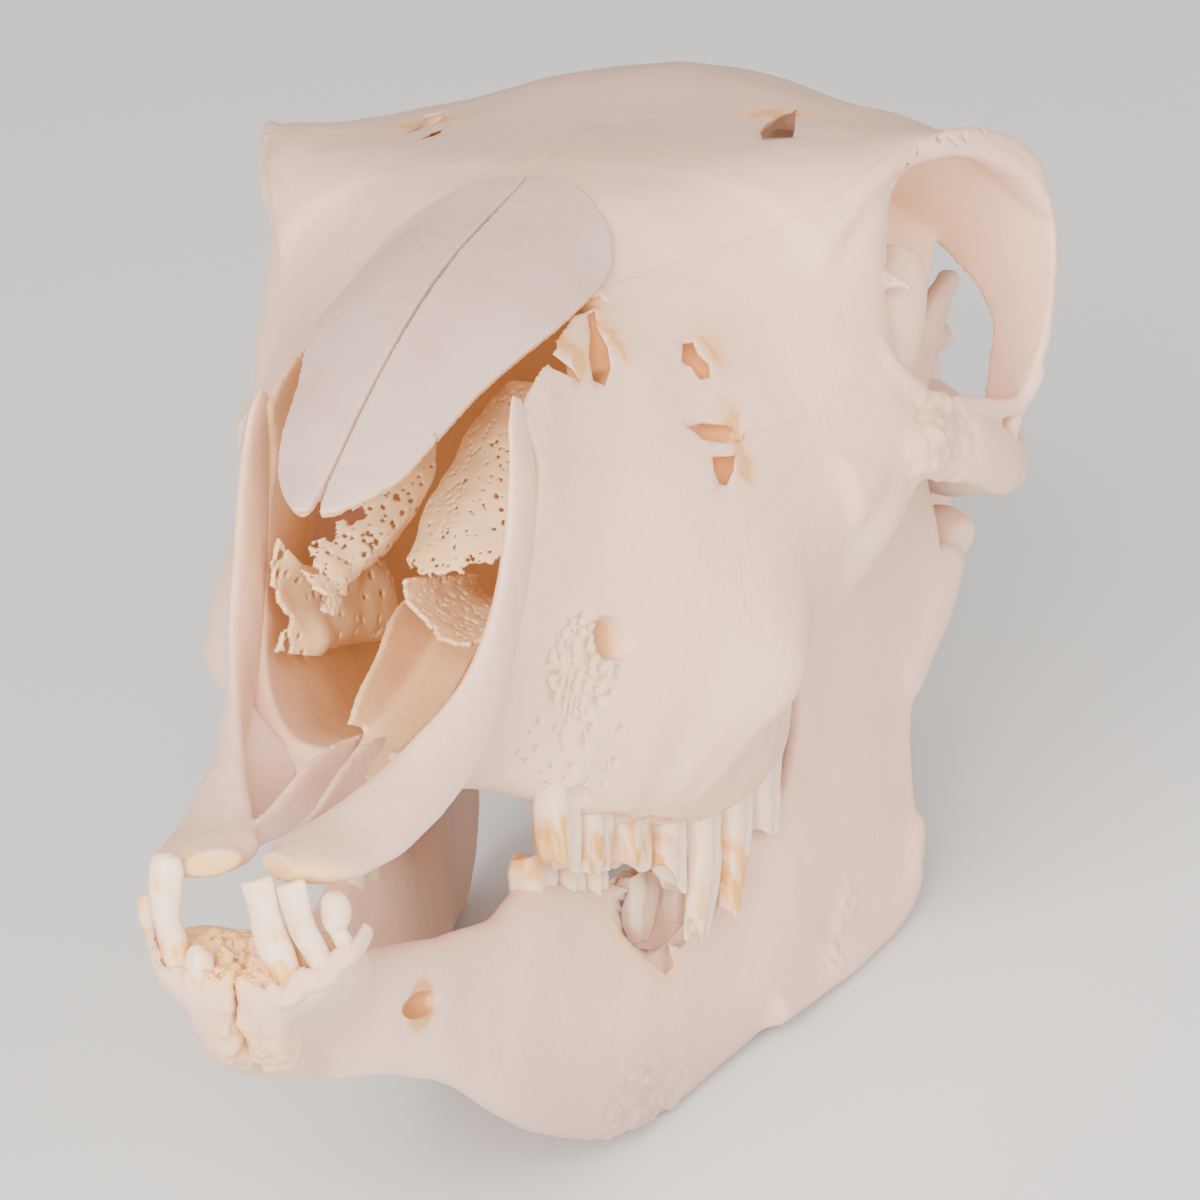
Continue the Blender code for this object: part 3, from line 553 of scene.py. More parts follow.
class Finish:
    """A material built on one Principled shader."""

    def __init__(self, name, roughness, **constants):
        self.material = bpy.data.materials.new(name)
        self.material.use_nodes = True
        self.tree = self.material.node_tree
        self.shader = self.tree.nodes["Principled BSDF"]
        self.shader.inputs["Roughness"].default_value = roughness
        for key, value in constants.items():
            self.shader.inputs[key.replace("_", " ")].default_value = value
        coordinates = self.node("ShaderNodeTexCoord", {}, {}, "Object")
        self.place = self.node("ShaderNodeVectorMath", {"operation": "SCALE"},
                               {0: coordinates, "Scale": 1 / MM})

    def node(self, kind, settings, inputs, output=0):
        made = self.tree.nodes.new(kind)
        for key, value in settings.items():
            setattr(made, key, value)
        for key, value in inputs.items():
            socket = made.inputs[key]
            if isinstance(value, Value):
                self.tree.links.new(value.socket, socket)
            else:
                socket.default_value = value
        return Value(self, made.outputs[output])

    def noise(self, size, detail, rough=0.5, at=None):
        return self.node("ShaderNodeTexNoise", {"noise_dimensions": "3D"},
                         {"Vector": at or self.place, "Scale": 1 / size, "Detail": detail,
                          "Roughness": rough})

    def cells(self, size):
        return self.node("ShaderNodeTexVoronoi", {"feature": "F1"},
                         {"Vector": self.place, "Scale": 1 / size})

    def marked(self, name):
        return self.node("ShaderNodeAttribute", {"attribute_name": name}, {}, "Fac")

    def mix(self, share, first, second):
        """A colour between two; a plain triple is a colour."""
        first, second = (c if isinstance(c, Value) else (*c, 1.0) for c in (first, second))
        return self.node("ShaderNodeMix", {"data_type": "RGBA"},
                         {0: share, 6: first, 7: second}, 2)

    def feed(self, name, value):
        self.tree.links.new(value.socket, self.shader.inputs[name])

    def relief(self, height, depth_mm):
        self.feed("Normal", self.node("ShaderNodeBump", {}, {
            "Height": height, "Distance": depth_mm * MM, "Strength": 1.0}))


# Colours that the marks of a bone or a tooth bring out: painted shade, stains, seam lines and pores
# painted shade on the brow, the back of the skull, the top of the nose and the low parts of the jaw
BROAD_SHADE_TONE = (0.56, 0.41, 0.37)
# painted shade deep in the recesses
DEEPEST_SHADE = (0.58, 0.29, 0.10)
YELLOWED = (0.92, 0.58, 0.24)
SEAM_LINE = (0.70, 0.40, 0.25)
PORE = (0.70, 0.42, 0.26)
TEA_STAIN = (0.88, 0.46, 0.12)
# painted shade on the biting faces of the teeth
BITE_SHADE = (0.62, 0.36, 0.18)
BLACK = (0.0, 0.0, 0.0)


def bone_finish(name, colour, recess_shade, glow=0.12):
    """Dry bone: mottled cream, fine grain and pores, faint seams, painted shade on the brow and low
    parts, and painted warm shade and glow in the hollows.
    """
    # The emission here lights the painted glow of the recesses
    finish = Finish(name, 0.55, Subsurface_Weight=glow, Subsurface_Scale=0.002,
                    Emission_Strength=0.1)
    finish.shader.inputs["Subsurface Radius"].default_value = (1.0, 0.62, 0.42)
    finish.shader.inputs["Specular IOR Level"].default_value = 0.35
    mottle = finish.noise(16, 3).between(0.35, 0.7)
    fleck = finish.noise(3.0, 3).between(0.45, 0.75)
    grain = finish.noise(0.45, 4, 0.6)
    pale = tuple(min(1.0, c * 1.04 + 0.01) for c in colour)
    pink = (colour[0] * 0.96, colour[1] * 0.88, colour[2] * 0.86)
    paint = finish.mix(mottle * 0.55, pale, pink)
    paint = finish.mix(fleck * 0.18, paint, pink)
    seam = finish.marked("seam")
    jag = (finish.noise(1.6, 2) - 0.5) * 2.4
    edge = (seam + jag * finish.marked("seam_jag")).size()
    line = (1 - edge.between(0.03, 0.24)) * finish.marked("seam_show")
    # Mask of the painted warm shade and glow in the recesses
    deep = finish.marked("recess_shade")
    pore = (1 - finish.cells(1.1).between(0.10, 0.30)) * finish.marked("porous")
    yellow = finish.marked("stain")
    # Painted shade: dusky colour on the brow, the back of the skull, the top of the nose and the low
    # parts of the jaw
    paint = finish.mix(finish.marked("broad_shade") * 0.7, paint, BROAD_SHADE_TONE)
    # Painted shade and warm bounced light in the recesses, darkest where they are deepest
    paint = finish.mix(deep, paint, recess_shade)
    paint = finish.mix((deep - 0.75).between(0.0, 0.25) * 0.55, paint, DEEPEST_SHADE)
    paint = finish.mix(yellow * finish.noise(2.2, 3).between(0.15, 0.6), paint, YELLOWED)
    paint = finish.mix(line * 0.22, paint, SEAM_LINE)
    paint = finish.mix(pore * 0.35, paint, PORE)
    finish.feed("Base Color", paint)
    finish.feed("Roughness", finish.noise(2.5, 3) * 0.25 + 0.42)
    # Painted glow: the recesses, and faintly the stains, emit the warm recess colour though they are
    # no lamp
    finish.feed("Emission Color", finish.mix(deep * 0.8 + yellow * 0.15, BLACK, recess_shade))
    height = grain * 0.2 + finish.noise(2.0, 3) * 0.45 - line * 0.2 - pore * 0.8
    finish.relief(height, 0.28)
    return finish.material


def tooth_finish(name, enamel, tartar):
    """Enamel with fine upright streaks, stains where the crown is marked, and painted shade on the
    biting faces.
    """
    finish = Finish(name, 0.3, Subsurface_Weight=0.15, Subsurface_Scale=0.0015, Coat_Weight=0.15,
                    Coat_Roughness=0.25)
    finish.shader.inputs["Subsurface Radius"].default_value = (1.0, 0.6, 0.35)
    tall = finish.node("ShaderNodeMapping", {"vector_type": "POINT"},
                       {"Vector": finish.place, "Scale": (1, 1, 0.22)})
    streak = finish.noise(0.8, 3, at=tall)
    cloud = finish.noise(2.6, 3).between(0.3, 0.7)
    cream = tuple(c * f for c, f in zip(enamel, (0.98, 0.90, 0.76)))
    paint = finish.mix(cloud * 0.5, enamel, cream)
    stain = finish.marked("stain")
    blotch = finish.noise(2.0, 3, 0.6, at=tall).between(0.35, 0.65)
    heavy = stain.between(0.1, 0.5) * blotch
    paint = finish.mix(heavy, paint, TEA_STAIN)
    paint = finish.mix((stain - 0.5).between(0.0, 0.35) * blotch * 0.9, paint, tartar)
    # Painted shade on the biting faces, where the closed rows meet
    paint = finish.mix(finish.marked("recess_shade"), paint, BITE_SHADE)
    finish.feed("Base Color", paint)
    finish.feed("Roughness", streak * 0.2 + 0.22)
    finish.relief(streak * 0.5 + finish.noise(1.4, 2) * 0.5, 0.16)
    return finish.material


# Cranium

FACE = {
    # depth y: left half-section from the bridge of the nose round the cheek to the palate
    -62: [(0, 56), (8, 55), (14, 50), (15.5, 42), (16, 34), (16.5, 27), (16.5, 21), (15.5, 16),
          (13.5, 11.5), (10, 9.5), (6, 10), (0, 10.5)],
    -45: [(0, 64.5), (9, 63), (18.5, 61), (20, 53), (20.8, 44), (21, 34), (20.5, 26), (19, 17),
          (15.5, 10.5), (11, 8), (6, 9.5), (0, 10)],
    -34: [(0, 70.5), (9, 69), (18.5, 66.5), (21.5, 58), (24, 47), (26, 36), (26.5, 27), (24, 16),
          (21.8, 5.5), (12.5, 5.5), (9, 10), (0, 11)],
    -22: [(0, 76.5), (9, 75), (18.2, 71.5), (24.5, 64), (30, 52), (33.4, 40), (36, 26), (31, 14),
          (24, 2), (13, 2), (10, 10), (0, 11.5)],
    -11: [(0, 82), (10, 81), (18, 76.5), (27, 70), (34.6, 56), (38.8, 42), (44.8, 21.5), (38, 12),
          (26.5, 0.5), (15, 1), (11, 10), (0, 12)],
    0: [(0, 87), (11, 86.5), (21, 84), (31, 76), (39, 62), (41.8, 47), (43.2, 29), (36, 14),
        (28, -0.5), (17, 0), (12, 10), (0, 12.5)],
    10: [(0, 91), (13, 90.5), (27, 88.5), (38, 83), (45, 68), (46.2, 52), (43.8, 34), (35, 16),
         (30, 1), (19, 1.5), (13, 10), (0, 13)],
    18: [(0, 93.5), (15, 93), (32, 92), (45, 88), (47, 74), (49.5, 56), (48, 38), (34, 18),
         (30.5, 3.5), (21, 4), (14, 10), (0, 13.5)],
    25: [(0, 95), (15, 94.5), (34, 93), (46, 89), (45, 74), (49.5, 56), (49, 42), (33, 20),
         (30, 6), (21, 6), (14, 11), (0, 14)],
}
BRAIN = {
    # depth y: left half-section of the brain case, from the roof to the skull base
    12: [(0, 90), (14, 88), (22, 80), (24, 64), (22, 48), (18, 36), (12, 28), (0, 26)],
    30: [(0, 97), (16, 95), (24, 84), (25, 66), (22, 50), (17, 40), (10, 33), (0, 31)],
    45: [(0, 101), (18, 98.5), (25, 88), (25, 68), (21, 52), (15, 42), (9, 36), (0, 34)],
    60: [(0, 103), (20, 100), (28, 90), (29, 72), (24, 54), (16, 42), (9, 35), (0, 33)],
    72: [(0, 101.5), (20, 98), (29.5, 87), (30, 70), (25, 52), (18, 38), (9, 31), (0, 29)],
    86: [(0, 97), (20, 93), (29, 82), (30, 66), (27, 50), (20, 34), (9, 26), (0, 24)],
    100: [(0, 89), (18, 86), (26, 76), (27, 62), (24.5, 46), (19, 30), (9, 22), (0, 20)],
    110: [(0, 80), (16, 77), (23.5, 69), (25, 57), (23, 42), (17, 28), (8, 21), (0, 19)],
    117: [(0, 71), (14, 68), (21, 62), (24, 52), (21, 40), (13, 29), (7, 22), (0, 20)],
    121: [(0, 62), (9, 60), (14, 54), (16, 47), (15, 38), (11, 30), (6, 25), (0, 23)],
}
FOREHEAD = {
    # depth y: (x, z) along the left half of the roof, out to the brow
    8: [(0, 90.5), (13, 90), (24, 88.5), (34, 85.5), (41, 80)],
    16: [(0, 93), (13, 92.7), (24, 92.2), (36, 91.2), (45.5, 89)],
    25: [(0, 95.8), (13, 95.5), (25, 94.5), (38, 94), (49, 93.3)],
    34: [(0, 99), (13, 98.6), (26, 96.6), (40, 95.2), (54, 94.6)],
    44: [(0, 102.8), (14, 101.8), (27, 98.6), (42, 95.9), (59, 91)],
    53: [(0, 104), (14, 102.6), (27, 99), (42, 95.2), (60, 84)],
    62: [(0, 104), (13, 102.6), (25, 98.8), (37, 93.6), (50, 86)],
    72: [(0, 102), (12, 101), (22, 97.2), (29, 92), (36, 85)],
}
FOREHEAD_DEPTH = 4.0
BROW_RIM = [(45.4, 19.8, 78), (46.8, 21, 89.3), (52.2, 29, 93.9), (56.2, 37.3, 94.4),
            (60.7, 45.6, 90.4), (62, 51.2, 82.3), (61.8, 53.2, 74), (60.2, 54.3, 64),
            (56.6, 53, 54), (54.2, 51, 46.5)]
BROW_INNER = [(36, 26, 78), (37, 34, 86), (38.5, 44, 85.5), (41, 52, 81), (44, 57, 77),
              (48.5, 59, 71.5), (50.8, 59, 66), (50.3, 59, 60), (50.2, 58, 54), (52, 57, 47)]
SOCKET_WALL = [
    # rows from the roof of the eye socket to its floor, each from the front rim inwards
    [(50.5, 28, 93.2), (45, 34, 92), (42, 43, 91), (45, 55, 85)],
    [(46.6, 22, 87), (38.5, 30, 86), (36, 42, 85), (43, 54, 80)],
    [(46.2, 20, 79), (37, 27, 78), (35, 39, 77), (42.4, 53, 75)],
    [(46, 19, 70), (37, 25, 68), (34, 37, 67), (41, 51, 68)],
]
BRAIN_ROOM = {
    # depth y: left half-section of the space for the brain, open behind to the neck
    50: [(0, 88), (10, 85), (14, 76), (14, 64), (12, 54), (8, 48), (0, 46)],
    60: [(0, 96), (15, 93), (22, 85), (22, 70), (17, 56), (10, 46), (0, 42)],
    72: [(0, 95), (16, 92), (24.5, 84), (26, 69), (21, 54), (12, 42), (0, 38)],
    86: [(0, 91), (16, 88), (25, 80), (26, 66), (23, 52), (14, 38), (0, 33)],
    100: [(0, 83), (14, 80), (21.5, 73), (22.5, 61), (20, 48), (12, 36), (0, 29)],
    110: [(0, 73), (11, 71), (18, 65), (19.5, 56), (18, 45), (11, 34), (0, 28)],
}
NASAL_CAVITY = {
    # depth y: left half-section of the nose's air space
    -75: [(0, 70), (9, 69), (13, 60), (14, 45), (14.5, 32), (13.5, 22), (9, 15), (0, 14)],
    -58: [(0, 76), (11, 75), (15, 62), (16.5, 45), (16.5, 32), (15, 22), (10, 15), (0, 14)],
    -45: [(0, 80), (12, 79), (17, 66), (18.5, 48), (18.5, 34), (16.5, 22), (11, 15), (0, 14)],
    -30: [(0, 84), (12, 83), (17, 69), (19.5, 52), (20, 36), (16, 22), (11, 15), (0, 14.5)],
    -15: [(0, 80), (10, 78), (16, 71), (21, 54), (21, 36), (15, 22), (10, 15.5), (0, 15)],
    5: [(0, 74), (7, 73), (13, 66), (18, 52), (18, 36), (13, 24), (9, 16.5), (0, 16)],
    24: [(0, 60), (5, 59), (8, 52), (9, 42), (9, 32), (9, 24), (8, 18.5), (0, 18)],
}
# (y, z) outline of what lies ahead of the cheek's front edge, where the premaxilla joins
SUTURE_LINE = [(-49.6, 62.5), (-44.6, 52), (-47.6, 40), (-51.6, 28), (-54.6, 20), (-58.2, 12),
               (-62, 6)]
ORBIT_RIM_FRONT = [(57, 36, 94.6), (54, 31.5, 94.2), (51, 27.5, 93), (48.6, 23.6, 91),
                   (47.9, 21.4, 87.5), (47.6, 20.6, 83), (47.6, 20.2, 78), (48, 19, 74.5)]
ORBIT_CENTRE = (37, 36, 75)
CHEEK_KNOB = (53, 27, 51)
FACE_HOLE = (23.4, -33.2, 27.5)
FACE_PORES = (22.5, -39, 24)
BROW_HOLE_SPOTS = [(26.2, 34, 93.5), (-25.6, 29, 93.5)]
# The air space of the nose: its half width by height, and its roof by depth
NOSE_WIDTHS = ([10, 14, 22, 36, 54, 68, 80], [12, 13, 17.2, 20.6, 20.6, 17.5, 13])
NOSE_ROOF = ([-60, 0, 26], [56, 84, 92])
NOSE_FLOOR = 12.5
NOSE_BACK = 26


def forehead():
    rings = {}
    for y, half in FOREHEAD.items():
        under = [(x, z - FOREHEAD_DEPTH) for x, z in reversed(half)]
        rings[y] = half + under
    return loft("forehead", rings)


def orbit_parts(side, orbit_wall):
    """The thin walls that stand inside and behind the eye socket."""
    return [
        plate("brow", [BROW_RIM, BROW_INNER], orbit_wall, side),
        plate("socket_wall", SOCKET_WALL, orbit_wall, side),
        strap("tear_bulb", [((39.5, 24, 58), 17, 18), ((42, 28, 67), 15, 16),
                            ((44, 31, 74), 11, 12), ((45, 32, 78), 6, 7)], (1, 0, 0), side),
        strap("socket_rim", [((47, 15, 66), 2.4, 2), ((48.5, 17.5, 62), 3, 2.4),
                             ((50.5, 24, 58), 3.2, 2.4), ((52.5, 32, 56), 3.2, 2.2),
                             ((54.5, 42, 55), 3.2, 2.2), ((56.5, 52, 55), 3, 2.2),
                             ((59, 55, 60), 2.4, 2)], (0, 0, 1), side, 12),
        strap("rim_spike", [((46, 18, 74.5), 3, 2), ((48, 20.5, 73.6), 2, 1.6),
                            ((49.8, 22.5, 72.8), 0.9, 0.8)], (0, 0, 1), side, 12),
    ]


def cranium_side(side):
    return [
        strap("cheek_bone", [((44, 8, 45), 13, 7), ((47, 17, 50), 11, 6.5),
                             ((50.5, 27, 50.4), 10.5, 5.5), ((53.7, 38, 49.5), 11, 5.5),
                             ((54.5, 48, 47), 10.5, 5), ((54.2, 53, 45.5), 9, 4.5)],
              (0, 0, 1), side),
        strap("cheek_arch", [((54, 46, 47), 9.5, 4.5), ((53.6, 56, 46), 9, 4.5),
                             ((51.5, 66, 45.5), 8.5, 4.5), ((47, 75, 46), 8.5, 6),
                             ((40, 83, 47), 9.5, 10), ((29, 89, 50), 14, 15)], (0, 0, 1), side),
        ball("jaw_seat", (39, 81, 42.5), (9, 9.5, 3.6), side),
        strap("ear_tube", [((26, 92, 42), 11, 11), ((32, 93, 44), 10, 10), ((37, 93, 46), 8, 9)],
              (0, 0, 1), side),
        ball("ear_capsule", (18.5, 91, 25), (7.5, 12, 9), side, (12, -15, 0)),
        strap("jugular_process", [((24, 111, 42), 12, 7), ((24, 109, 26), 10, 6),
                                  ((22.5, 106, 14), 7, 4.5), ((21, 102, 5), 4, 3)],
              (0.3, 1, 0), side),
        ball("condyle", (13.5, 121, 33), (8, 8, 11), side, (0, 20, 0)),
        strap("pterygoid", [((13, 20, 20), 26, 4), ((12, 34, 23), 26, 3.4), ((11, 48, 25), 20, 3.2),
                            ((11.5, 60, 28), 13, 4), ((13, 68, 32), 8, 5)], (0, 0, 1), side),
        ball("hind_tooth_bed", (25.5, 24.5, 17.5), (5.5, 6.6, 13), side),
        ball("cheek_knob", (51.4, 27, 50.6), (3.2, 9, 4.8), side),
    ]


def cranium_hollows():
    front = [(-85, 6), (-85, 80), (-52, 80)] + SUTURE_LINE
    cutters = [
        loft("nose_hollow", NASAL_CAVITY),
        skin("nose_front", [[(x, y, z) for y, z in front] for x in (-40, 0, 40)], closed=True),
        ball("spinal_opening", (0, 118, 44), (10.5, 18, 10)),
        loft("brain_room", BRAIN_ROOM),
    ]
    for side in (1, -1):
        cutters += [
            ball("orbit_hollow", (48, 35.3, 73.5), (26, 16.4, 18.2), side, (0, 10, -22), 64),
            ball("cheek_hollow", (40, 38, 35), (11, 16, 15), side),
        ]
    return cutters


# Gaps in the left tear bone, as outlines in mm right and up from a centre as the camera sees them
FACE_GAPS = [
    ((16.5, -24, 71.5), [(-6.2, -4.6), (-4.6, -3.2), (-2.2, -0.4), (0.4, 1.2), (3.6, 1.6), (4.8, 0.9),
                         (3.2, 0.2), (1.6, -0.8), (-0.6, -1.4), (-3, -3.6), (-5, -5.4)]),
    ((19, -34.5, 65), [(-2.6, 1.4), (-0.8, 0.6), (1.6, -1.2), (2.4, -2.6), (1.2, -2.2),
                       (-1.2, -1.2), (-2.8, 0.4)]),
    ((21, -25.5, 66), [(-1.6, 4.8), (-0.6, 5.4), (-0.2, 3), (1.2, 0.4), (1.6, -2.6), (0.8, -5),
                       (-0.8, -4.4), (-1.4, -1), (-1.2, 2)]),
    ((30, -12, 64), [(-1.8, 2.4), (-0.4, 2.6), (0.4, 0.8), (1.8, -0.4), (2, -2.4), (0.6, -2.6),
                     (-0.6, -1), (-2, -0.2)]),
    ((33.5, -14, 54.5), [(-4, 0.6), (-1.6, 1.2), (1.6, 1), (2.4, 0.4), (2, -0.6), (3.8, -1.2),
                         (1.2, -1.6), (-1.6, -1.2), (-2.8, -0.2)]),
    ((35, -14, 49.5), [(-1.8, 1.6), (1.4, 1.8), (1.2, -0.2), (0.2, -2.4), (-0.8, -2.2),
                       (-1.6, -0.4)]),
]
# The brow's holes, given in the same way
BROW_HOLES = [
    ((26.5, 31.5, 94.6), [(2.9, 3.4), (0.6, 2.7), (-1.6, 0.8), (-2.7, -0.7), (-2.3, -2.3), (0, -2.7),
                          (1.9, -1.9), (2.5, 0.2)]),
    ((-26, 26.5, 95), [(2.1, 2.7), (-0.3, 1.8), (-2, -0.2), (-2.4, -1.2), (-0.7, -0.5), (1.7, 0.8),
                       (2.4, 1.8)]),
    ((-26, 26.5, 95), [(2.4, -0.7), (1, -1.2), (-0.4, -2.5), (1.3, -2), (2.4, -1.3)]),
]
# Patches of small pits on the left side: centre, reach, how many, least and greatest radius
FACE_PITS = ((23.5, -38, 24), (6, 6.5, 7.5), 60, 0.3, 0.8)
GUM_PITS = ((21, -36, 13), (7, 12, 7), 26, 0.15, 0.35)
# A scallop of the gum's edge over each upper cheek tooth: centre, half length and half height
GUM_SCALLOPS = [((21.6, -34.5, 4.4), 3.2, 3.8), ((22.4, -24.3, 2.2), 4, 2.4),
                ((23.8, -16.7, 0.8), 2.2, 2.2), ((24.4, -11.9, 0.4), 2.3, 2.4),
                ((25.8, -4.6, -0.8), 3.4, 2.4), ((27.6, 3.8, -1.2), 3.3, 2.4),
                ((29.4, 12.8, 0), 3.8, 2.6), ((30.4, 22, 3), 3.8, 2.2)]


def cranium_openings(cranium):
    cutters = [gap("face_gap", centre, outline, 4.5) for centre, outline in FACE_GAPS]
    cutters += [gap("brow_hole", centre, outline, 9) for centre, outline in BROW_HOLES]
    for side in (1, -1):
        cutters += [
            ball("infraorbital_foramen", (25.4, -34.2, 27.8), (6, 2, 3.4), side, (25, 0, 20), 24),
            pits("face_pits", cranium, side, FACE_PITS, 33, 35),
            pits("gum_pits", cranium, side, GUM_PITS, 37, 39),
        ]
        for centre, long, high in GUM_SCALLOPS:
            cutters.append(ball("gum_scallop", centre, (1.9, long, high), side, (0, 0, -8), 20))
    return cutters


# Each seam's path over the left side of the bone, and how jagged it is
SEAMS = [
    ([(18, -17, 74.5), (22, -8.5, 76), (27, -2, 78.5), (31, 3, 80), (38, 8.5, 83.5),
      (43.5, 14, 87.5), (46, 19, 91)], 0.7),
    ([(47, 13.5, 62), (43, 5, 57), (40.5, 1, 50), (38, -8, 44), (37, -14, 40), (38, -16, 30),
      (40, -12, 25)], 0.5),
    ([(31, -14, 64), (33, -10, 58), (36, -6, 54), (41, 3, 56)], 0.6),
    ([(44, 62, 92), (34, 64, 95), (20, 66.5, 99.5), (8, 68, 102.5), (0, 68.5, 103)], 1.0),
    ([(0, 103, 88), (12, 102, 86.5), (22, 99, 82), (29, 98, 72), (31, 99, 60)], 1.0),
    ([(54, 58, 51), (53.5, 62, 46), (53, 66, 42)], 0.6),
    ([(2, 6, 12.5), (8, 7, 11.5), (14, 10, 6)], 0.5),
]
# The same for the seams that run along the middle
MIDLINE_SEAMS = [
    ([(0, 3, 89), (0.3, 14, 92.5), (-0.2, 30, 97.5), (0.2, 44, 103), (0, 56, 104.5),
      (0, 67, 103)], 0.7),
    ([(0, -50, 10), (0, -30, 11), (0, -10, 12), (0, 6, 12.5), (0, 18, 13.5)], 0.4),
]


def mark_seams(piece, seams):
    points, normals = surface(piece)
    best = np.full(len(points), FAR)
    signed, jag = best.copy(), np.zeros(len(points))
    for path, how_jagged in seams:
        here, plain = beside(points, normals, path)
        closer = plain < best
        best[closer], signed[closer], jag[closer] = plain[closer], here[closer], how_jagged
    show = (1 - fade(np.abs(signed), 1.6, 2.4)) * (1 - fade(best, 2.6, 4.0))
    valley = np.exp(-(signed / 0.6) ** 2) * show
    move_to(piece, points - normals * (0.07 * valley)[:, None])
    mark(piece, "seam", signed)
    mark(piece, "seam_show", show)
    mark(piece, "seam_jag", jag)


def on_both_sides(place):
    return [flip(place, side) for side in (1, -1)]


def near_points(points, centres, inner, outer):
    """1 close to any of the centres, fading to 0."""
    share = np.zeros(len(points))
    for centre in centres:
        share = np.maximum(share, 1 - fade(np.linalg.norm(points - centre, axis=1), inner, outer))
    return share


def make_cranium(sizes):
    pieces = [
        loft("face", FACE),
        loft("brain_case", BRAIN),
        forehead(),
        strap("skull_base", [((0, 58, 31), 15, 9), ((0, 80, 25), 16, 10), ((0, 104, 20), 18, 9),
                             ((0, 116, 22), 20, 8)], (1, 0, 0)),
        strap("nape_crest", [((-28, 106, 60), 5, 4), ((-19, 114, 68), 5, 4), ((0, 118, 72), 6, 5),
                             ((19, 114, 68), 5, 4), ((28, 106, 60), 5, 4)], (0, 0.7, 0.7)),
    ]
    thin_parts = []
    for side in (1, -1):
        pieces += cranium_side(side)
        thin_parts += orbit_parts(side, sizes.orbit_wall)
    cranium = weld("cranium_bone", pieces, CRANIUM_CORE_GRAIN, 10)
    cut(cranium, cranium_hollows())
    cranium = weld("cranium_bone", [cranium] + thin_parts, sizes.cranium_grain, 3)
    points = places(cranium)
    swell = uneven(points, 14, 3, 2) * 0.35 + uneven(points, 4.5, 5) * 0.1
    knob = near_points(points, on_both_sides(CHEEK_KNOB), 6, 12)
    swell += knob * uneven(points, 2.2, 15, 3) * 0.7
    gum = fade(points[:, 2], 1, 5) * (1 - fade(points[:, 2], 12, 20)) * (np.abs(points[:, 0]) > 19)
    for centre, long, _ in GUM_SCALLOPS:
        swell += gum * np.exp(-((points[:, 1] - centre[1]) / (long * 0.6)) ** 2) * 0.3
    push_out(cranium, swell)
    thin_to(cranium, CRANIUM_TRIANGLES)
    cut(cranium, cranium_openings(cranium))
    for side in (1, -1):
        cut(cranium, [notches("rim_notches", flip(ORBIT_RIM_FRONT, side), 1.5, 0.9, 11 + side)])
    cranium = drop_crumbs(cranium)
    mirrored = [(flip(path, -1), jag) for path, jag in SEAMS]
    mark_seams(cranium, SEAMS + mirrored + MIDLINE_SEAMS)
    mark_cranium(cranium)
    return cranium


def mark_cranium(cranium):
    """Marks the painted warm shade and glow in the hollows, the face's pores, the yellowed edges, and
    the painted shade on the brow and the back of the skull.
    """
    points, outward = surface(cranium)
    across = np.abs(points[:, 0])
    width = np.interp(points[:, 2], *NOSE_WIDTHS)
    roof = np.interp(points[:, 1], *NOSE_ROOF)
    air = (points[:, 1] < NOSE_BACK) * (across < width)
    air = air * (points[:, 2] > NOSE_FLOOR) * (points[:, 2] < roof)
    # Painted warm shade and glow on the nose's inner walls that face into its air space
    turned_in = 1 - fade(outward[:, 0] * np.sign(points[:, 0]), 0.1, 0.6)
    nose = air * turned_in * fade(points[:, 1], -70, -25)
    # Painted shade on the orbit's inner walls, where they face its centre
    orbit = np.zeros(len(points))
    for side in (1, -1):
        away = points - flip(ORBIT_CENTRE, side)
        reach = np.linalg.norm(away, axis=1)
        facing = -(away * outward).sum(1) / np.maximum(reach, 0.1)
        orbit = np.maximum(orbit, (1 - fade(reach, 19, 29)) * fade(facing, 0.0, 0.5) * 0.5)
    # Painted shade in and around the brow's and the face's holes
    brow_holes = near_points(points, BROW_HOLE_SPOTS, 2.6, 4.2)
    face_holes = near_points(points, on_both_sides(FACE_HOLE), 2.6, 4)
    holes = np.maximum(brow_holes, face_holes)
    # Painted shade and glow on the bone seen deep behind each gap
    ahead = np.array(TO_CAMERA)
    for gaps, reach in ((FACE_GAPS, 3.6), (BROW_HOLES, 4.4)):
        for centre, _ in gaps:
            sunk = -((points - centre) @ ahead)
            off = np.linalg.norm(points - centre + ahead * 2, axis=1)
            nose = np.maximum(nose, (1 - fade(off, reach, reach + 2)) * fade(sunk, 0.4, 1.6))
    # Walls that face sideways or down, and low ones, keep the full painted shade in their holes;
    # upward faces, where light falls, keep less
    walls = (points[:, 2] < 30) | (outward[:, 2] < 0.55)
    holes = np.where(walls, holes, holes * 0.3)
    mark(cranium, "recess_shade", np.clip(np.maximum(nose, orbit) + holes * 0.9, 0, 1))
    face = near_points(points, on_both_sides(FACE_PORES), 3, 7) * 0.35
    gum = (1 - fade(points[:, 2], 3, 7)) * fade(across, 17, 19.5)
    gum = gum * fade(points[:, 1], -42, -38) * (1 - fade(points[:, 1], 24, 28))
    mark(cranium, "porous", np.clip(face + gum * 0.5, 0, 1))
    mark(cranium, "stain", np.clip(face * 0.8 + gum * 0.3, 0, 1))
    # Painted shade: darker towards the top of the brow and the back of the skull
    bridge = 1 - fade(np.abs(points[:, 0] + 4), 14, 40)
    brow = fade(points[:, 2], 84, 95) * (0.55 + bridge * 0.45)
    mark(cranium, "broad_shade", np.clip(brow + fade(points[:, 1], 60, 80) * 0.3, 0, 1))


# Loose bones of the nose

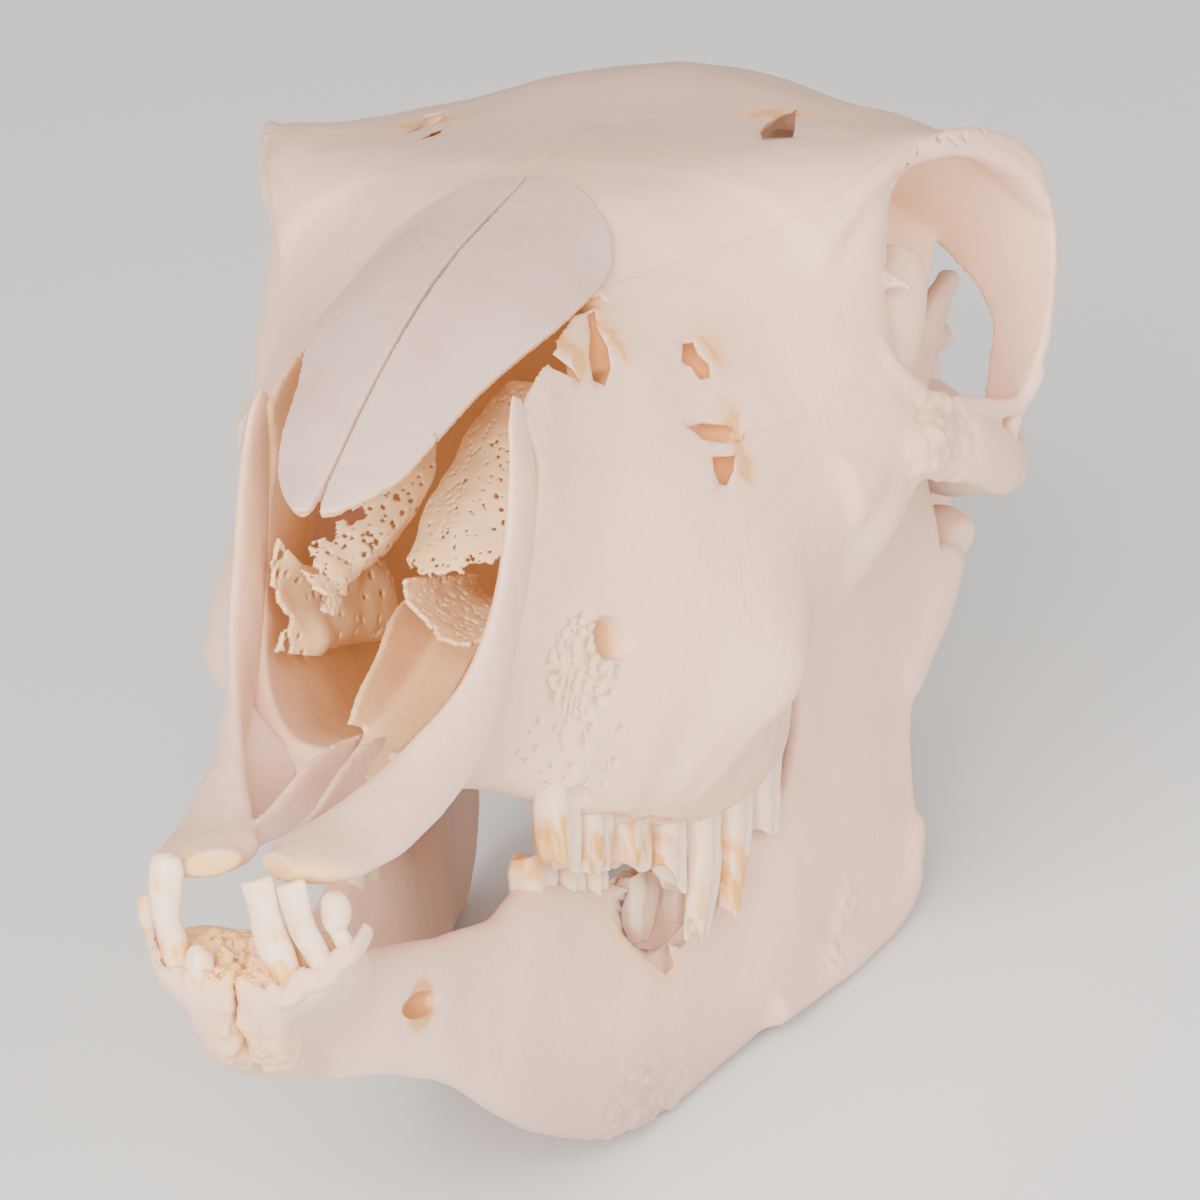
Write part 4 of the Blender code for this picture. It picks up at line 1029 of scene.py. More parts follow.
NASAL = [
    # rows from the brow to the tip: midline, middle and side of the left nasal bone
    [(0.1, 2, 87.3), (5, 1, 86.9), (10, -1, 85.4)],
    [(0.1, -4, 85.1), (8, -5, 84), (15.5, -7, 80.3)],
    [(0.1, -12, 82.3), (9, -13, 80.5), (17.6, -14, 75)],
    [(0.1, -24, 77.8), (9, -25, 75.8), (17.4, -26, 70.3)],
    [(0.1, -36, 72.1), (8.5, -36.5, 70.2), (16, -37, 66.2)],
    [(0.1, -48, 64.8), (7, -48, 63.5), (12.8, -48, 60.6)],
    [(0.1, -58, 57.8), (5.6, -58, 57), (10.6, -58, 54.8)],
    [(0.15, -66, 51.5), (4.4, -65.5, 51.3), (8.4, -64, 50.4)],
    [(0.4, -71, 47.9), (2.8, -70.5, 48), (5.4, -69, 47.8)],
    [(1, -73.4, 46), (2, -73.2, 46.2), (3, -72.4, 46.4)],
]
NASAL_TIP = [(10.4, -58, 55), (8.6, -64, 50.5), (5.6, -69, 47.9), (3.2, -72.2, 46.6),
             (1.4, -73.4, 46.2)]


def make_nasal(name, side, sizes):
    bone = plate("nasal", NASAL, sizes.nasal_wall, side, steps=8, offset=-side)
    resurface(bone, sizes.thin_grain, 3)
    cut(bone, [notches("tip_notches", flip(NASAL_TIP, side), 1.9, 0.95, 31 + side)])
    bone = drop_crumbs(bone)
    points = places(bone)
    push_out(bone, uneven(points, 9, 7) * 0.12 + uneven(points, 2.5, 9) * 0.05)
    bone.name = name
    thin_to(bone, THIN_BONE_TRIANGLES)
    points, normals = surface(bone)
    # Painted shade and glow under the plate, where it faces down
    mark(bone, "recess_shade", (1 - fade(normals[:, 2], -0.5, 0)) * 0.9)
    # Painted shade, darker towards the plate's top
    mark(bone, "broad_shade", fade(points[:, 2], 64, 84) * 0.45)
    return bone


PREMAXILLA = [
    # point, width and thickness from the front pad up to the thin top of the bar
    ((4.4, -96, 4.0), 7.5, 3.4), ((7.2, -91.5, 4.4), 13.6, 5.2), ((10, -84, 6.3), 11.8, 5.5),
    ((12.6, -76, 9.8), 10, 5), ((14.8, -68, 14), 10, 4), ((16.9, -60, 20.5), 10, 3.4),
    ((18.4, -55, 29), 9.5, 3), ((19.1, -51.2, 39), 9, 2.8), ((19.3, -49.6, 48), 8.6, 2.6),
    ((18.7, -49.2, 57), 6.4, 1.6), ((18.2, -48.4, 61), 3.4, 0.9),
]
PREMAXILLA_ACROSS = [(-1, 0, 0.1), (-1, 0, 0.1), (-0.95, 0, 0.3), (-0.8, -0.2, 0.6),
                     (-0.45, -0.45, 0.8), (-0.15, -0.7, 0.7), (0, -0.9, 0.4), (0, -1, 0.2),
                     (0, -1, 0.1), (0, -1, 0), (0, -1, 0)]
NOSE_WALL = [[(16.4, -59, 20), (14.4, -67, 13.4), (12, -75, 9.4), (8.6, -84, 6.4)],
             [(10, -56, 12), (8.4, -64.5, 9), (7, -73, 7), (5.8, -82, 5)]]
PALATE_BLADE = [[(3.6, -92, 6.6), (3, -80, 9.6), (2.6, -71.5, 13.2), (2.2, -62.5, 15.6),
                 (1.8, -54, 16)],
                [(3.8, -92, 4.4), (3.2, -78, 5), (2.8, -68, 7.3), (2.4, -59, 10.6), (2, -52, 12.6)]]


def make_premaxilla(name, side, sizes):
    pieces = [strap("bar", PREMAXILLA, PREMAXILLA_ACROSS, side),
              plate("wall", NOSE_WALL, 1.2, side), plate("blade", PALATE_BLADE, 0.9, side)]
    bone = weld(name, pieces, sizes.thin_grain, 8)
    points = places(bone)
    push_out(bone, uneven(points, 7, 13) * 0.2 + uneven(points, 2, 15) * 0.06)
    thin_to(bone, THIN_BONE_TRIANGLES)
    points, normals = surface(bone)
    mark(bone, "stain", inside_egg(points, (6 * side, -95, 2.5), (8, 5, 3), 0.7, 1.15))
    # Painted warm shade on the inward-facing bone high in the nose
    inward = 1 - fade(normals[:, 0] * side, -0.4, 0.2)
    mark(bone, "recess_shade", inward * fade(points[:, 2], 14, 26) * 0.35)
    return bone


# Sheets of each side's nose scroll: rows of points, pore size, share of pores and torn sides
SCROLL_SHEETS = {
    1: [
        ([[(7.1, -20, 60.4), (7.1, -24, 60.8), (9.4, -27, 61.7), (12.9, -27, 61.4)],
          [(4.2, -22, 55), (3.6, -28, 55.5), (9.2, -33, 57), (15.7, -34, 56.4)],
          [(2.8, -24, 49), (1.9, -32, 49.6), (8.4, -38, 51.2), (16.2, -38, 50.3)],
          [(1.4, -26, 44), (0.2, -36, 44.5), (8.2, -42, 45.5), (16.7, -41, 44.6)],
          [(1.6, -30, 40), (0.4, -40, 40.1), (8.3, -45, 40.7), (16.7, -43, 40.1)],
          [(1.2, -36, 37), (-0.1, -44, 36.7), (7.3, -47, 36.6), (16.4, -44, 38.6)]],
         0.9, 0.7, ("foot",)),
        ([[(3, -50, 36.3), (2.4, -51, 34.4), (4.7, -52, 32.2), (8.3, -53, 29.4), (11.9, -53, 27.8),
           (14.7, -52, 28.9), (16.6, -50, 33.4), (16.5, -48, 37.9)],
          [(3.4, -40, 36), (3, -40, 34.2), (5, -40, 32), (8.3, -40, 30), (11, -40, 28.9),
           (13.4, -40, 30), (15, -40, 33.4), (14.6, -40, 36.6)],
          [(4.6, -28, 35.4), (4.4, -28, 34), (5.8, -28, 32.4), (8.3, -28, 31), (10.4, -28, 30.2),
           (12, -28, 31), (13, -28, 33.4), (12.6, -28, 35.4)]],
         1.0, 0.6, ("head",)),
    ],
    -1: [
        ([[(-0.1, -20, 58), (-1.5, -22, 56.4), (-2.8, -26, 54.6)],
          [(-2.9, -24, 53.8), (-5.7, -28, 51.9), (-7.6, -34, 48.9)],
          [(-2, -28, 48.6), (-5.4, -34, 45.5), (-10.8, -42, 42.6)],
          [(-3.3, -32, 44.1), (-6.5, -40, 39.8), (-12.4, -50, 38.8)],
          [(-6, -36, 38.9), (-7.6, -46, 34.9), (-8.5, -54, 34.3)],
          [(-8.6, -42, 35.2), (-7.3, -50, 31.9), (-6.2, -56, 30.2)]],
         0.95, 0.7, ("foot", "end")),
        ([[(-12.8, -20, 35.9), (-13.8, -30, 36.7), (-14.3, -44, 37.2), (-15.1, -52, 41.9)],
          [(-11.3, -20, 31.1), (-13.1, -30, 31.3), (-15.1, -44, 33.1), (-15.9, -52, 36.5)],
          [(-11.4, -20, 26.9), (-13.1, -30, 27.1), (-12.2, -44, 27.8), (-15.2, -52, 30.5)],
          [(-13.6, -20, 25.1), (-15.3, -30, 25.3), (-12.9, -44, 25.1), (-15.2, -52, 26.1)]],
         1.5, 0.4, ("end",)),
    ],
}
LACE_MESH = 0.27                      # mesh size of the scrolls in mm


def pore_gaps(points, size, seed):
    """Distance to the nearest of many scattered pores, in pore sizes, and that pore's own draw."""
    lattice = np.random.default_rng(seed).random((NOISE_CELLS,) * 3 + (4,))
    q = np.asarray(points) / size + NOISE_SHIFT
    cell = np.floor(q).astype(int)
    best, draw = np.full(len(q), FAR), np.zeros(len(q))
    for step in np.ndindex(3, 3, 3):
        here = cell + np.array(step) - 1
        pore = lattice[tuple((here % NOISE_CELLS).T)]
        reach = np.linalg.norm(here + pore[:, :3] - q, axis=1)
        closer = reach < best
        best[closer], draw[closer] = reach[closer], pore[closer, 3]
    return best, draw


def lace(name, rows, wall, hole, share, torn, seed):
    """A paper-thin curved sheet eaten through by round pores, ragged on its torn sides."""
    rows = np.asarray(rows, float)
    for _ in range(2):
        length = np.linalg.norm(np.diff(rows, axis=0), axis=2).sum(0).mean()
        rows = spline(rows, max(2, round(length / LACE_MESH / (rows.shape[0] - 1))))
        rows = np.swapaxes(rows, 0, 1)
    piece = skin(name, rows)
    middles = read(piece.data.polygons, "center")
    reach, draw = pore_gaps(middles, hole, seed)
    patchy = uneven(middles, 6, seed + 5) * 0.25
    gone = (draw < share + patchy) & (reach < 0.14 + 0.3 * draw / share)
    sides = {"head": rows[0], "foot": rows[-1], "start": rows[:, 0], "end": rows[:, -1]}
    rag = np.abs(uneven(middles, 3.2, seed + 1, 3)) * 3.2 + 0.1
    for side in torn:
        edge = sides[side][::2]
        away = np.linalg.norm(middles[:, None] - edge[None], axis=2).min(1)
        gone |= away < rag
    bpy.context.tool_settings.mesh_select_mode = (False, False, True)
    piece.data.polygons.foreach_set("select", gone)
    pick(piece)
    bpy.ops.object.mode_set(mode="EDIT")
    bpy.ops.mesh.delete(type="FACE")
    bpy.ops.object.mode_set(mode="OBJECT")
    push_out(piece, uneven(places(piece), 5, seed + 3, 2) * 0.45)
    piece = drop_crumbs(piece)
    modify(piece, "SOLIDIFY", thickness=wall, offset=0.0)
    modify(piece, "SMOOTH", factor=0.5, iterations=2)
    return piece


def make_concha(name, side, sizes):
    scrolls = [lace("sheet", rows, sizes.scroll_wall, hole, share, torn, 41 + 4 * i + side)
               for i, (rows, hole, share, torn) in enumerate(SCROLL_SHEETS[side])]
    bone = joined(name, scrolls)
    points = places(bone)
    # Painted warm shade and glow, stronger deeper into the nose
    mark(bone, "recess_shade", fade(points[:, 1], -42, -24) * 0.45)
    mark(bone, "stain", fade(uneven(points, 6, 71), 0.2, 0.8) * 0.5)
    return bone


VOMER_TROUGH = [
    # from the right wing's edge through the groove to the left wing's edge, each from back to front
    [(-5, -28.8, 32.8), (-4.5, -37, 30.2), (-3.6, -44.4, 25.5), (-2.4, -53.1, 21.7),
     (-1.4, -59.2, 17.9)],
    [(-1.5, -27.5, 28.7), (-1.2, -30.9, 26.3), (-1, -36.7, 22.8), (-0.8, -45, 18.9),
     (-0.6, -55.7, 16.4)],
    [(1, -28, 27.6), (1, -36, 24), (0.9, -44, 20.2), (0.8, -54, 16.8), (0.8, -66, 12.4)],
    [(6, -27, 27.5), (5.4, -34, 23), (4.8, -41, 18.4), (4, -52, 14.4), (3.4, -63.4, 11)],
]


def make_vomer(sizes):
    bone = plate("vomer_bone", VOMER_TROUGH, 1.0, steps=10)
    resurface(bone, sizes.thin_grain, 3)
    thin_to(bone, THIN_BONE_TRIANGLES)
    points = places(bone)
    # Painted warm shade and glow, stronger deeper into the nose
    mark(bone, "recess_shade", fade(points[:, 1], -60, -30) * 0.4)
    return bone


# Lower jaw

JAW_BODY = {
    # depth y: inner x, outer x, lowest z, highest z, and how far the keel narrows, 0 to 1
    -101: (1.2, 7, -13.5, -11, 0.3), -98: (0.9, 12.8, -15.5, -9.6, 0.6),
    -95.5: (0.8, 14.6, -17.5, -7.4, 0.7), -93: (0.8, 15.4, -19.5, -5.4, 0.8),
    -87: (0.9, 14.8, -24, -5.5, 0.8),
    -80: (1.3, 13, -26, -8, 0.5), -72: (4, 13, -26.4, -9.3, 0.2), -61: (7, 14, -28.8, -9.8, 0),
    -51: (8.4, 15, -32.4, -9.6, 0), -43: (9, 16, -36, -9.4, 0), -37: (9.3, 16.8, -38.6, -7.2, 0),
    -32: (9.8, 17.4, -40.6, -6, 0), -20: (11, 19, -43.6, -7.8, 0), -8: (12.4, 21.4, -45.2, -8.6, 0),
    4: (14.6, 23.6, -43.6, -7, 0), 14: (18, 26.2, -39.6, -6, 0), 24: (21.5, 29.6, -35.6, -3, 0),
    34: (25.3, 32, -32.4, 2, 0), 44: (28.6, 33.4, -29.4, 2, 0),
}
# The left half has a swollen lower border; on the right half it runs at these depths instead
RIGHT_LOWER_BORDER = {-61: -28, -51: -29.6, -43: -31.2, -37: -32.4, -32: -33.4, -20: -35, -8: -36,
                      4: -36, 14: -35.6, 24: -35}
# Beside the cheek teeth the right half is wider inwards and higher, as its wall isn't broken
RIGHT_WHOLE_WALL = (-21, 15)          # between these depths
RIGHT_WALL_INWARDS = 1.2
RIGHT_WALL_HIGHER = 4
# Depth, lowest and highest z of the block that meets the other half
CHIN = [(-100.2, -14.5, -10.6), (-98.6, -18, -9.2), (-96, -21, -7.6), (-92, -23, -6),
        (-87, -24.6, -5.8), (-82, -25, -8)]
JAW_BRANCH = [
    # rows from the lower border to the muscle process: front, middle and back edge
    [(21.5, 7, -31), (31, 38, -30), (33.7, 52, -26.4)],
    [(21.5, 7, -21), (31.3, 40, -21), (35.3, 64.5, -19)],
    [(25.5, 20, -11), (31.3, 42, -8), (35.5, 66.6, -9)],
    [(28.3, 31, 3), (31.8, 46, 4), (35, 65, 4)],
    [(28.6, 33.4, 16), (33, 49, 16), (36.3, 66, 16)],
    [(30.4, 36, 27), (35, 53, 27), (38, 70, 27)],
    [(33.4, 40, 37), (36.8, 53, 38), (38.5, 66, 37)],
    [(37, 43.5, 50), (38, 51, 50), (38.6, 58.5, 50)],
    [(38.8, 51.5, 61), (39.2, 56.5, 60.5), (39.4, 61.5, 60)],
    [(40, 58, 68), (40.3, 61.5, 67.3), (40.5, 65, 66.5)],
    [(41.3, 65.4, 74), (41.5, 67, 73.6), (41.7, 68.6, 73)],
]
# Outline of the broken outer wall beside the growing teeth
WINDOW = [(19.6, -17.6, -8), (19.7, -16.8, -11), (19.7, -17, -12.6), (20.1, -15, -15.4),
          (20.8, -11.3, -18), (21.5, -7.6, -20.2), (22.4, -2.9, -22.7), (22.8, -0.7, -21.7),
          (22.5, -2.3, -18.5), (23.1, 0.9, -19.4), (23.7, 4.1, -18), (24.4, 7.6, -13.4),
          (24.4, 7.6, -2), (19.7, -17.1, 0)]
CHIN_PITS = ((2, -96, -7), (11, 5, 6), 90, 0.25, 0.75)   # given as the face's pits are
JAW_RIDGE = [(33.4, 38, -25), (33.8, 41, -21), (34, 43.5, -18)]
# The ragged upper edge of each half at the chin, from the outer side to the middle
RUGGED_RIMS = {
    1: [(15.3, -92, -3.8), (15.2, -94.3, -5.4), (14.5, -96.2, -6.4), (13.2, -97.1, -7.4),
        (12.6, -97.9, -8.8), (11.2, -98.9, -9.6), (9.6, -99.3, -9.8), (8.6, -100.1, -11.4),
        (7, -100.4, -12), (5, -100.2, -11.6), (2.7, -99.8, -11.4), (0.6, -99.4, -10.8)],
    -1: [(13.6, -94.6, -5.4), (12.6, -96.4, -7.2), (10.6, -98.4, -9.6), (8.4, -99.5, -10.6),
         (6.9, -99.8, -9.6), (6.2, -100, -11.2), (4.4, -100.2, -11.8), (2.8, -100, -10.6),
         (0.6, -99.6, -10.8)],
}


def oval_ring(x_low, x_high, y, z_low, z_high, keel=0, sides=40, squareness=2.6):
    """A ring of a rounded rectangle across the jaw; a keel of 1 draws its foot inwards."""
    turn = np.arange(sides) * 2 * math.pi / sides
    c, s = np.cos(turn), np.sin(turn)
    x = np.sign(c) * np.abs(c) ** (2 / squareness) * (x_high - x_low) / 2
    z = np.sign(s) * np.abs(s) ** (2 / squareness) * (z_high - z_low) / 2
    depth = 0.5 - z / (z_high - z_low)
    x = x - keel * depth ** 1.5 * (x + (x_high - x_low) / 2)
    return np.stack([(x_low + x_high) / 2 + x, np.full(sides, float(y)),
                     (z_low + z_high) / 2 + z], 1)


def make_jaw(name, side, sizes):
    rings = []
    for y, (x0, x1, z0, z1, keel) in JAW_BODY.items():
        if side < 0:
            z0 = RIGHT_LOWER_BORDER.get(y, z0)
            if RIGHT_WHOLE_WALL[0] < y < RIGHT_WHOLE_WALL[1]:
                x0, z1 = x0 - RIGHT_WALL_INWARDS, z1 + RIGHT_WALL_HIGHER
        rings.append(flip(oval_ring(x0, x1, y, z0, z1, keel), side))
    chin = [flip(oval_ring(0.1, 8, y, z0, z1, 0.25, squareness=6), side) for y, z0, z1 in CHIN]
    pieces = [
        skin("body", spline(rings, 6), closed=True),
        skin("chin", spline(chin, 6), closed=True),
        plate("branch", JAW_BRANCH, 3.2, side),
        strap("neck", [((36, 63, 12), 8, 4.5), ((38, 69.5, 22), 9, 5), ((38.8, 74, 31), 9, 6)],
              (0, 1, 0), side),
        strap("hinge_head", [((31, 76, 33), 7, 6), ((36.5, 77, 34), 9, 8), ((41, 76, 32.5), 7, 6.5)],
              (0, 1, 0), side),
        strap("angle_border", [((28.5, 24, -31.8), 6, 5.5), ((33, 46, -26), 6, 5.5),
                               ((35, 57.5, -21.8), 6, 5.5), ((35.8, 63.6, -17), 6, 5),
                               ((36, 66.2, -8), 5, 4.5)],
              (0, 0.4, 1), side),
    ]
    jaw = weld(name, pieces, JAW_CORE_GRAIN, 14)
    rim = strap("rim", [(point, 2.8, 1.6) for point in RUGGED_RIMS[side]], (0, 0, 1), side, 12)
    jaw = weld(name, [jaw, rim], sizes.jaw_grain, 2)
    points = places(jaw)
    fibres = uneven(points * (1, 1, 0.45), 1.3, 23, 3) * chin_share(points)
    swell = uneven(points, 12, 21, 2) * 0.3 + fibres * 1.3
    if side > 0:
        swell += uneven(points * (1, 0.5, 1.2), 1.4, 27, 3) * border_share(points) * 0.6
    ridge = near_points(points, flip(JAW_RIDGE, side), 1, 3.5)
    swell += ridge * (0.35 + uneven(points, 1.6, 29, 2) * 0.6)
    push_out(jaw, swell)
    thin_to(jaw, JAW_TRIANGLES)
    cutters = [ball("chin_foramen", (12.4, -69.2, -17.2), (5.5, 4, 1.8), side, (0, 0, 30), 24),
               pits("chin_pits", jaw, side, CHIN_PITS, 25 + side, 25)]
    if side > 0:
        cutters += [ball("tooth_crypt", (18.3, -2, -13.5), (3.0, 12, 8), turn=(0, 0, -11)),
                    gap_on_bone("broken_window", WINDOW, 6, 4)]
    jaw = drop_crumbs(cut(jaw, cutters))
    points = places(jaw)
    # Painted shade and glow in the chin foramen
    mark(jaw, "recess_shade", near_points(points, [(10.6 * side, -68.6, -17.2)], 3.8, 4.8))
    mark(jaw, "porous", chin_share(points) * 0.4 + border_share(points) * 0.5)
    # Painted shade, darker towards the bottom and low under the chin's front
    low = fade(-points[:, 2], 24, 44) * 0.9
    low += (1 - fade(points[:, 1], -88, -76)) * fade(-points[:, 2], 9, 18) * 0.8
    mark(jaw, "broad_shade", np.clip(low, 0, 1))
    stain = chin_share(points) * 1.1
    if side > 0:
        stain += near_points(points, even_spline(WINDOW[:9], 1.0), 0.5, 1.6) * 0.8
    mark(jaw, "stain", np.clip(stain, 0, 1))
    return jaw


def chin_share(points):
    """1 on the open spongy face between the jaw's halves, fading out from it."""
    face = inside_egg(points, (0, -95, -8), (12.5, 8, 5.5), 0.7, 1.15)
    crack = inside_egg(points, (1, -94, -17), (6.5, 8, 9), 0.6, 1.1)
    return np.maximum(face, crack * 0.6)


def border_share(points):
    """1 on the rough patch of the left half's lower border, fading out from it."""
    return inside_egg(points, (20.5, -6, -41), (9, 15, 9), 0.5, 1.1)


# Teeth

# Each level of a cheek tooth: z, inner x, outer x, front y, back y, on the left side
UPPER_TEETH = [
    [(10, 16.2, 20, -37.5, -30.5), (6.5, 15.8, 20.4, -38.5, -29.6), (0, 15.8, 20.6, -38, -29.4),
     (-3.8, 16.8, 20.3, -37.4, -29.1)],
    [(8, 15.6, 21, -28, -20.6), (4, 15.2, 21.6, -28.6, -20), (-1, 15.6, 21.6, -28.4, -20),
     (-5, 17, 21.2, -28.4, -19.7)],
    [(7, 15.8, 22.6, -18.6, -9.8), (2, 15.4, 23.2, -19, -9.4), (-2, 16.6, 23.3, -18.8, -9.4),
     (-5, 18.6, 23, -18.8, -9)],
    [(6, 17.4, 24.4, -8, -1.2), (1, 17, 25, -8.4, -0.9), (-5, 20, 25.2, -8.2, -1.2),
     (-11.3, 21.8, 25.1, -8.3, -0.8)],
    [(6, 19, 26.4, 0.6, 7.2), (0.6, 18.8, 27.1, 0.1, 7.6), (-7, 23, 27.4, 0.2, 7),
     (-12.5, 24, 27.3, -0.7, 6.4), (-18.8, 24.4, 26.8, -2, 2.8)],
    [(8, 21.6, 28.2, 9, 16.6), (2.5, 21.4, 28.8, 8.6, 17), (-5, 25, 29.2, 8.2, 15),
     (-10, 25.6, 29.2, 7.6, 13.6), (-15.2, 26.2, 29, 6.4, 11.2)],
    [(12, 23.6, 29, 18.4, 25.4), (6, 23.4, 29.8, 18, 26), (0, 25.4, 30, 17.8, 25),
     (-4.4, 26.2, 29.9, 18, 24.2)],
]
UPPER_LOBES = (2,) * len(UPPER_TEETH)
# Heights of the biting edge of each tooth, from its front to its back
UPPER_EDGES = [(-2.6, -4.2, -5), (-5.2, -5.6, -5), (-5, -7, -5.8), (-6.6, -8.4, -10.6, -11.6),
               (-15, -18.4, -19.2, -17.8, -14.6), (-14.8, -16.2, -15.4, -12, -9),
               (-4.8, -5.8, -5.8, -4.4)]
LOWER_TEETH = [
    [(-12, 11.2, 14.8, -33, -25.8), (-5, 10.8, 15.4, -35.4, -24.8), (-1.4, 11.4, 15.2, -35, -25)],
    [(-13, 12, 15.8, -23.6, -18.6), (-6, 11.6, 16.6, -24.4, -18), (-2.4, 12.2, 16, -23.6, -18.6)],
    [(-14, 12.8, 17, -17, -12.4), (-7, 12.6, 17.6, -17.6, -11.8), (-4, 13.2, 17, -17, -12.4)],
    [(-19, 15.4, 17.4, -0.6, 3.6), (-15, 14.8, 18.2, -3.8, 5.4), (-9, 14.8, 18.8, -5.2, 6),
     (-6, 15.6, 18.6, -4.8, 5.4)],
    [(-17, 18, 20.6, 7.6, 12), (-13, 17.4, 21.2, 6.8, 13), (-8, 17.4, 21.2, 6.8, 13.4),
     (-5.5, 18.2, 20.6, 7.6, 12.4)],
]
LOWER_LOBES = (2, 2, 2, 2, 1)
LOWER_EDGES = [(-2.2, -1.8, -2.4, -2.8), (-2.9, -3.6, -5), (-4.9, -5.6, -6.4), (-8.6, -8, -9, -10),
               (-10, -9.2, -10.4)]
# How heavily each tooth is stained
UPPER_STAINS = (2.6, 2.0, 1.9, 1.3, 0.7, 1.4, 0.2)
LOWER_STAINS = (0.5, 0.6, 0.5, 0.1, 0.4)
CHEEK_TEETH = {"upper": (UPPER_TEETH, UPPER_EDGES, UPPER_LOBES, UPPER_STAINS),
               "lower": (LOWER_TEETH, LOWER_EDGES, LOWER_LOBES, LOWER_STAINS)}
CROWN_SIDES = 48
# Rings that close a crown: their share of its last ring, and how far they sink
CROWN_CAPS = ((0.82, -0.12), (0.55, 0.35), (0.25, 0.5))
# (point, width, thickness) from the root to the tip of each front tooth
FRONT_TEETH = {
    "incisor_left_1": [((7.9, -98.5, -11.4), 2, 2), ((7.3, -98.8, -9.3), 3.4, 3.2),
                       ((6.2, -99.1, -6.9), 4.4, 3.6), ((5.4, -99.3, -5.1), 4.6, 3.6),
                       ((4.8, -99.5, -2.8), 4.3, 3.4), ((4.5, -99.7, -1.1), 4.1, 3),
                       ((4.1, -100, 1), 4.2, 2.4), ((3.7, -100.3, 2.6), 4.3, 1.6),
                       ((3.6, -100.4, 3), 3.8, 0.8)],
    "incisor_left_2": [((11.7, -97.4, -9.2), 1.6, 1.8), ((11.3, -97.7, -7.6), 3, 3),
                       ((10.2, -98.3, -5.1), 3.4, 3), ((9.3, -98.6, -3.4), 3.5, 3),
                       ((8.8, -99, -1.3), 3.6, 2.8), ((8.4, -99.4, 0.8), 3.9, 2.3),
                       ((8.2, -99.8, 2.4), 3.9, 1.6), ((8.1, -99.9, 2.8), 3.4, 0.8)],
    "incisor_left_3": [((14.3, -95.9, -6.9), 1.8, 1.8), ((13.8, -96.2, -5), 2.4, 2.4),
                       ((13.2, -96.5, -3.7), 2.3, 2.3), ((13, -96.7, -2.6), 3.4, 3.2),
                       ((13.1, -97, -1), 3.9, 3.4), ((13, -97.3, 0.6), 3.3, 3),
                       ((13, -97.5, 1.4), 1.8, 1.6)],
    "incisor_right_1": [((-5, -98.6, -11.2), 2.6, 2.4), ((-5, -98.8, -9.6), 3.8, 3.4),
                        ((-5, -98.8, -8), 3.8, 3.4), ((-5, -98.7, -6.8), 3, 2.8),
                        ((-4.9, -98.6, -6.1), 1.4, 1.4)],
    "incisor_right_2": [((-8, -98.2, -10), 1.6, 1.8), ((-8.1, -98.3, -8.8), 3, 3),
                        ((-8.4, -98.4, -7.4), 3.7, 3.5), ((-8.8, -98.6, -5.4), 3.7, 3.5),
                        ((-9.2, -98.9, -3.4), 3.5, 3.3), ((-9.5, -99.1, -1.4), 4.2, 3.6),
                        ((-9.3, -99.4, 1.2), 4.5, 3.4), ((-9.1, -99.6, 3.6), 4.5, 2.9),
                        ((-9.3, -99.7, 5), 3.6, 2.2), ((-9.3, -99.8, 5.6), 1.8, 1.2)],
    "incisor_right_3": [((-13.4, -94.8, -6.2), 1.8, 2), ((-13.7, -95.4, -3.8), 2.2, 2.2),
                        ((-13.7, -95.8, -2.2), 2.4, 2.2), ((-13.5, -96.2, -0.9), 2, 1.8),
                        ((-13.4, -96.4, -0.3), 1, 1)],
}


def make_cheek_tooth(name, side, levels, edges, lobes, stain):
    """A fluted column whose biting edge runs through the given heights."""
    tip, root = levels[-1][0], levels[0][0]
    way = math.copysign(1, tip - root)
    rings = []
    for z, x0, x1, y0, y1 in levels:
        flat = oval_ring(x0, x1, 0, y0, y1, sides=CROWN_SIDES, squareness=4.2)
        rings.append(np.stack([flat[:, 0], flat[:, 2], np.full(CROWN_SIDES, float(z))], 1))
    rings = spline(rings, 5)
    for ring in rings:
        outer, along = unit(ring[:, 0]), unit(ring[:, 1])
        rib = np.cos(2 * math.pi * lobes * (along - 0.5 / lobes))
        down = (ring[0, 2] - root) / (tip - root)
        edge = np.interp(along, np.linspace(0, 1, len(edges)), edges)
        ring[:, 0] += (outer - 0.5) * rib * 0.42
        ring[:, 2] = root + (edge - root) * down
        ring[:, 2] += way * down ** 4 * (rib * 0.18 - (1 - outer) * 0.45)
    middle = rings[-1].mean(0)
    caps = []
    for share, sink in CROWN_CAPS:
        cap = middle + (rings[-1] - middle) * (share, share, 0.4 + 0.6 * share)
        cap[:, 2] -= way * sink
        caps.append(cap)
    tooth = skin(name, flip(np.concatenate([rings, caps]), side), closed=True)
    modify(tooth, "SUBSURF", levels=1, render_levels=1)
    points, normals = surface(tooth)
    push_out(tooth, uneven(points, 2.6, 63, 2) * 0.14)
    span = np.clip((points[:, 2] - root) / (tip - root), 0, 1)
    front = 1 - fade(points[:, 1], levels[0][3] + 0.3, levels[0][3] + 2)
    patch = fade(uneven(points, 3.4, 61, 2), -0.1, 0.7)
    stain = np.clip(fade(span, 0.3, 0.8) * (patch * 0.8 + front * 0.5) * stain, 0, 1)
    mark(tooth, "stain", stain)
    # Painted shade on the biting faces, where the closed rows of teeth meet
    biting = fade(normals[:, 2] * way, 0.6, 0.9) * fade(span, 0.7, 0.9)
    mark(tooth, "recess_shade", biting * 0.25)
    return tooth


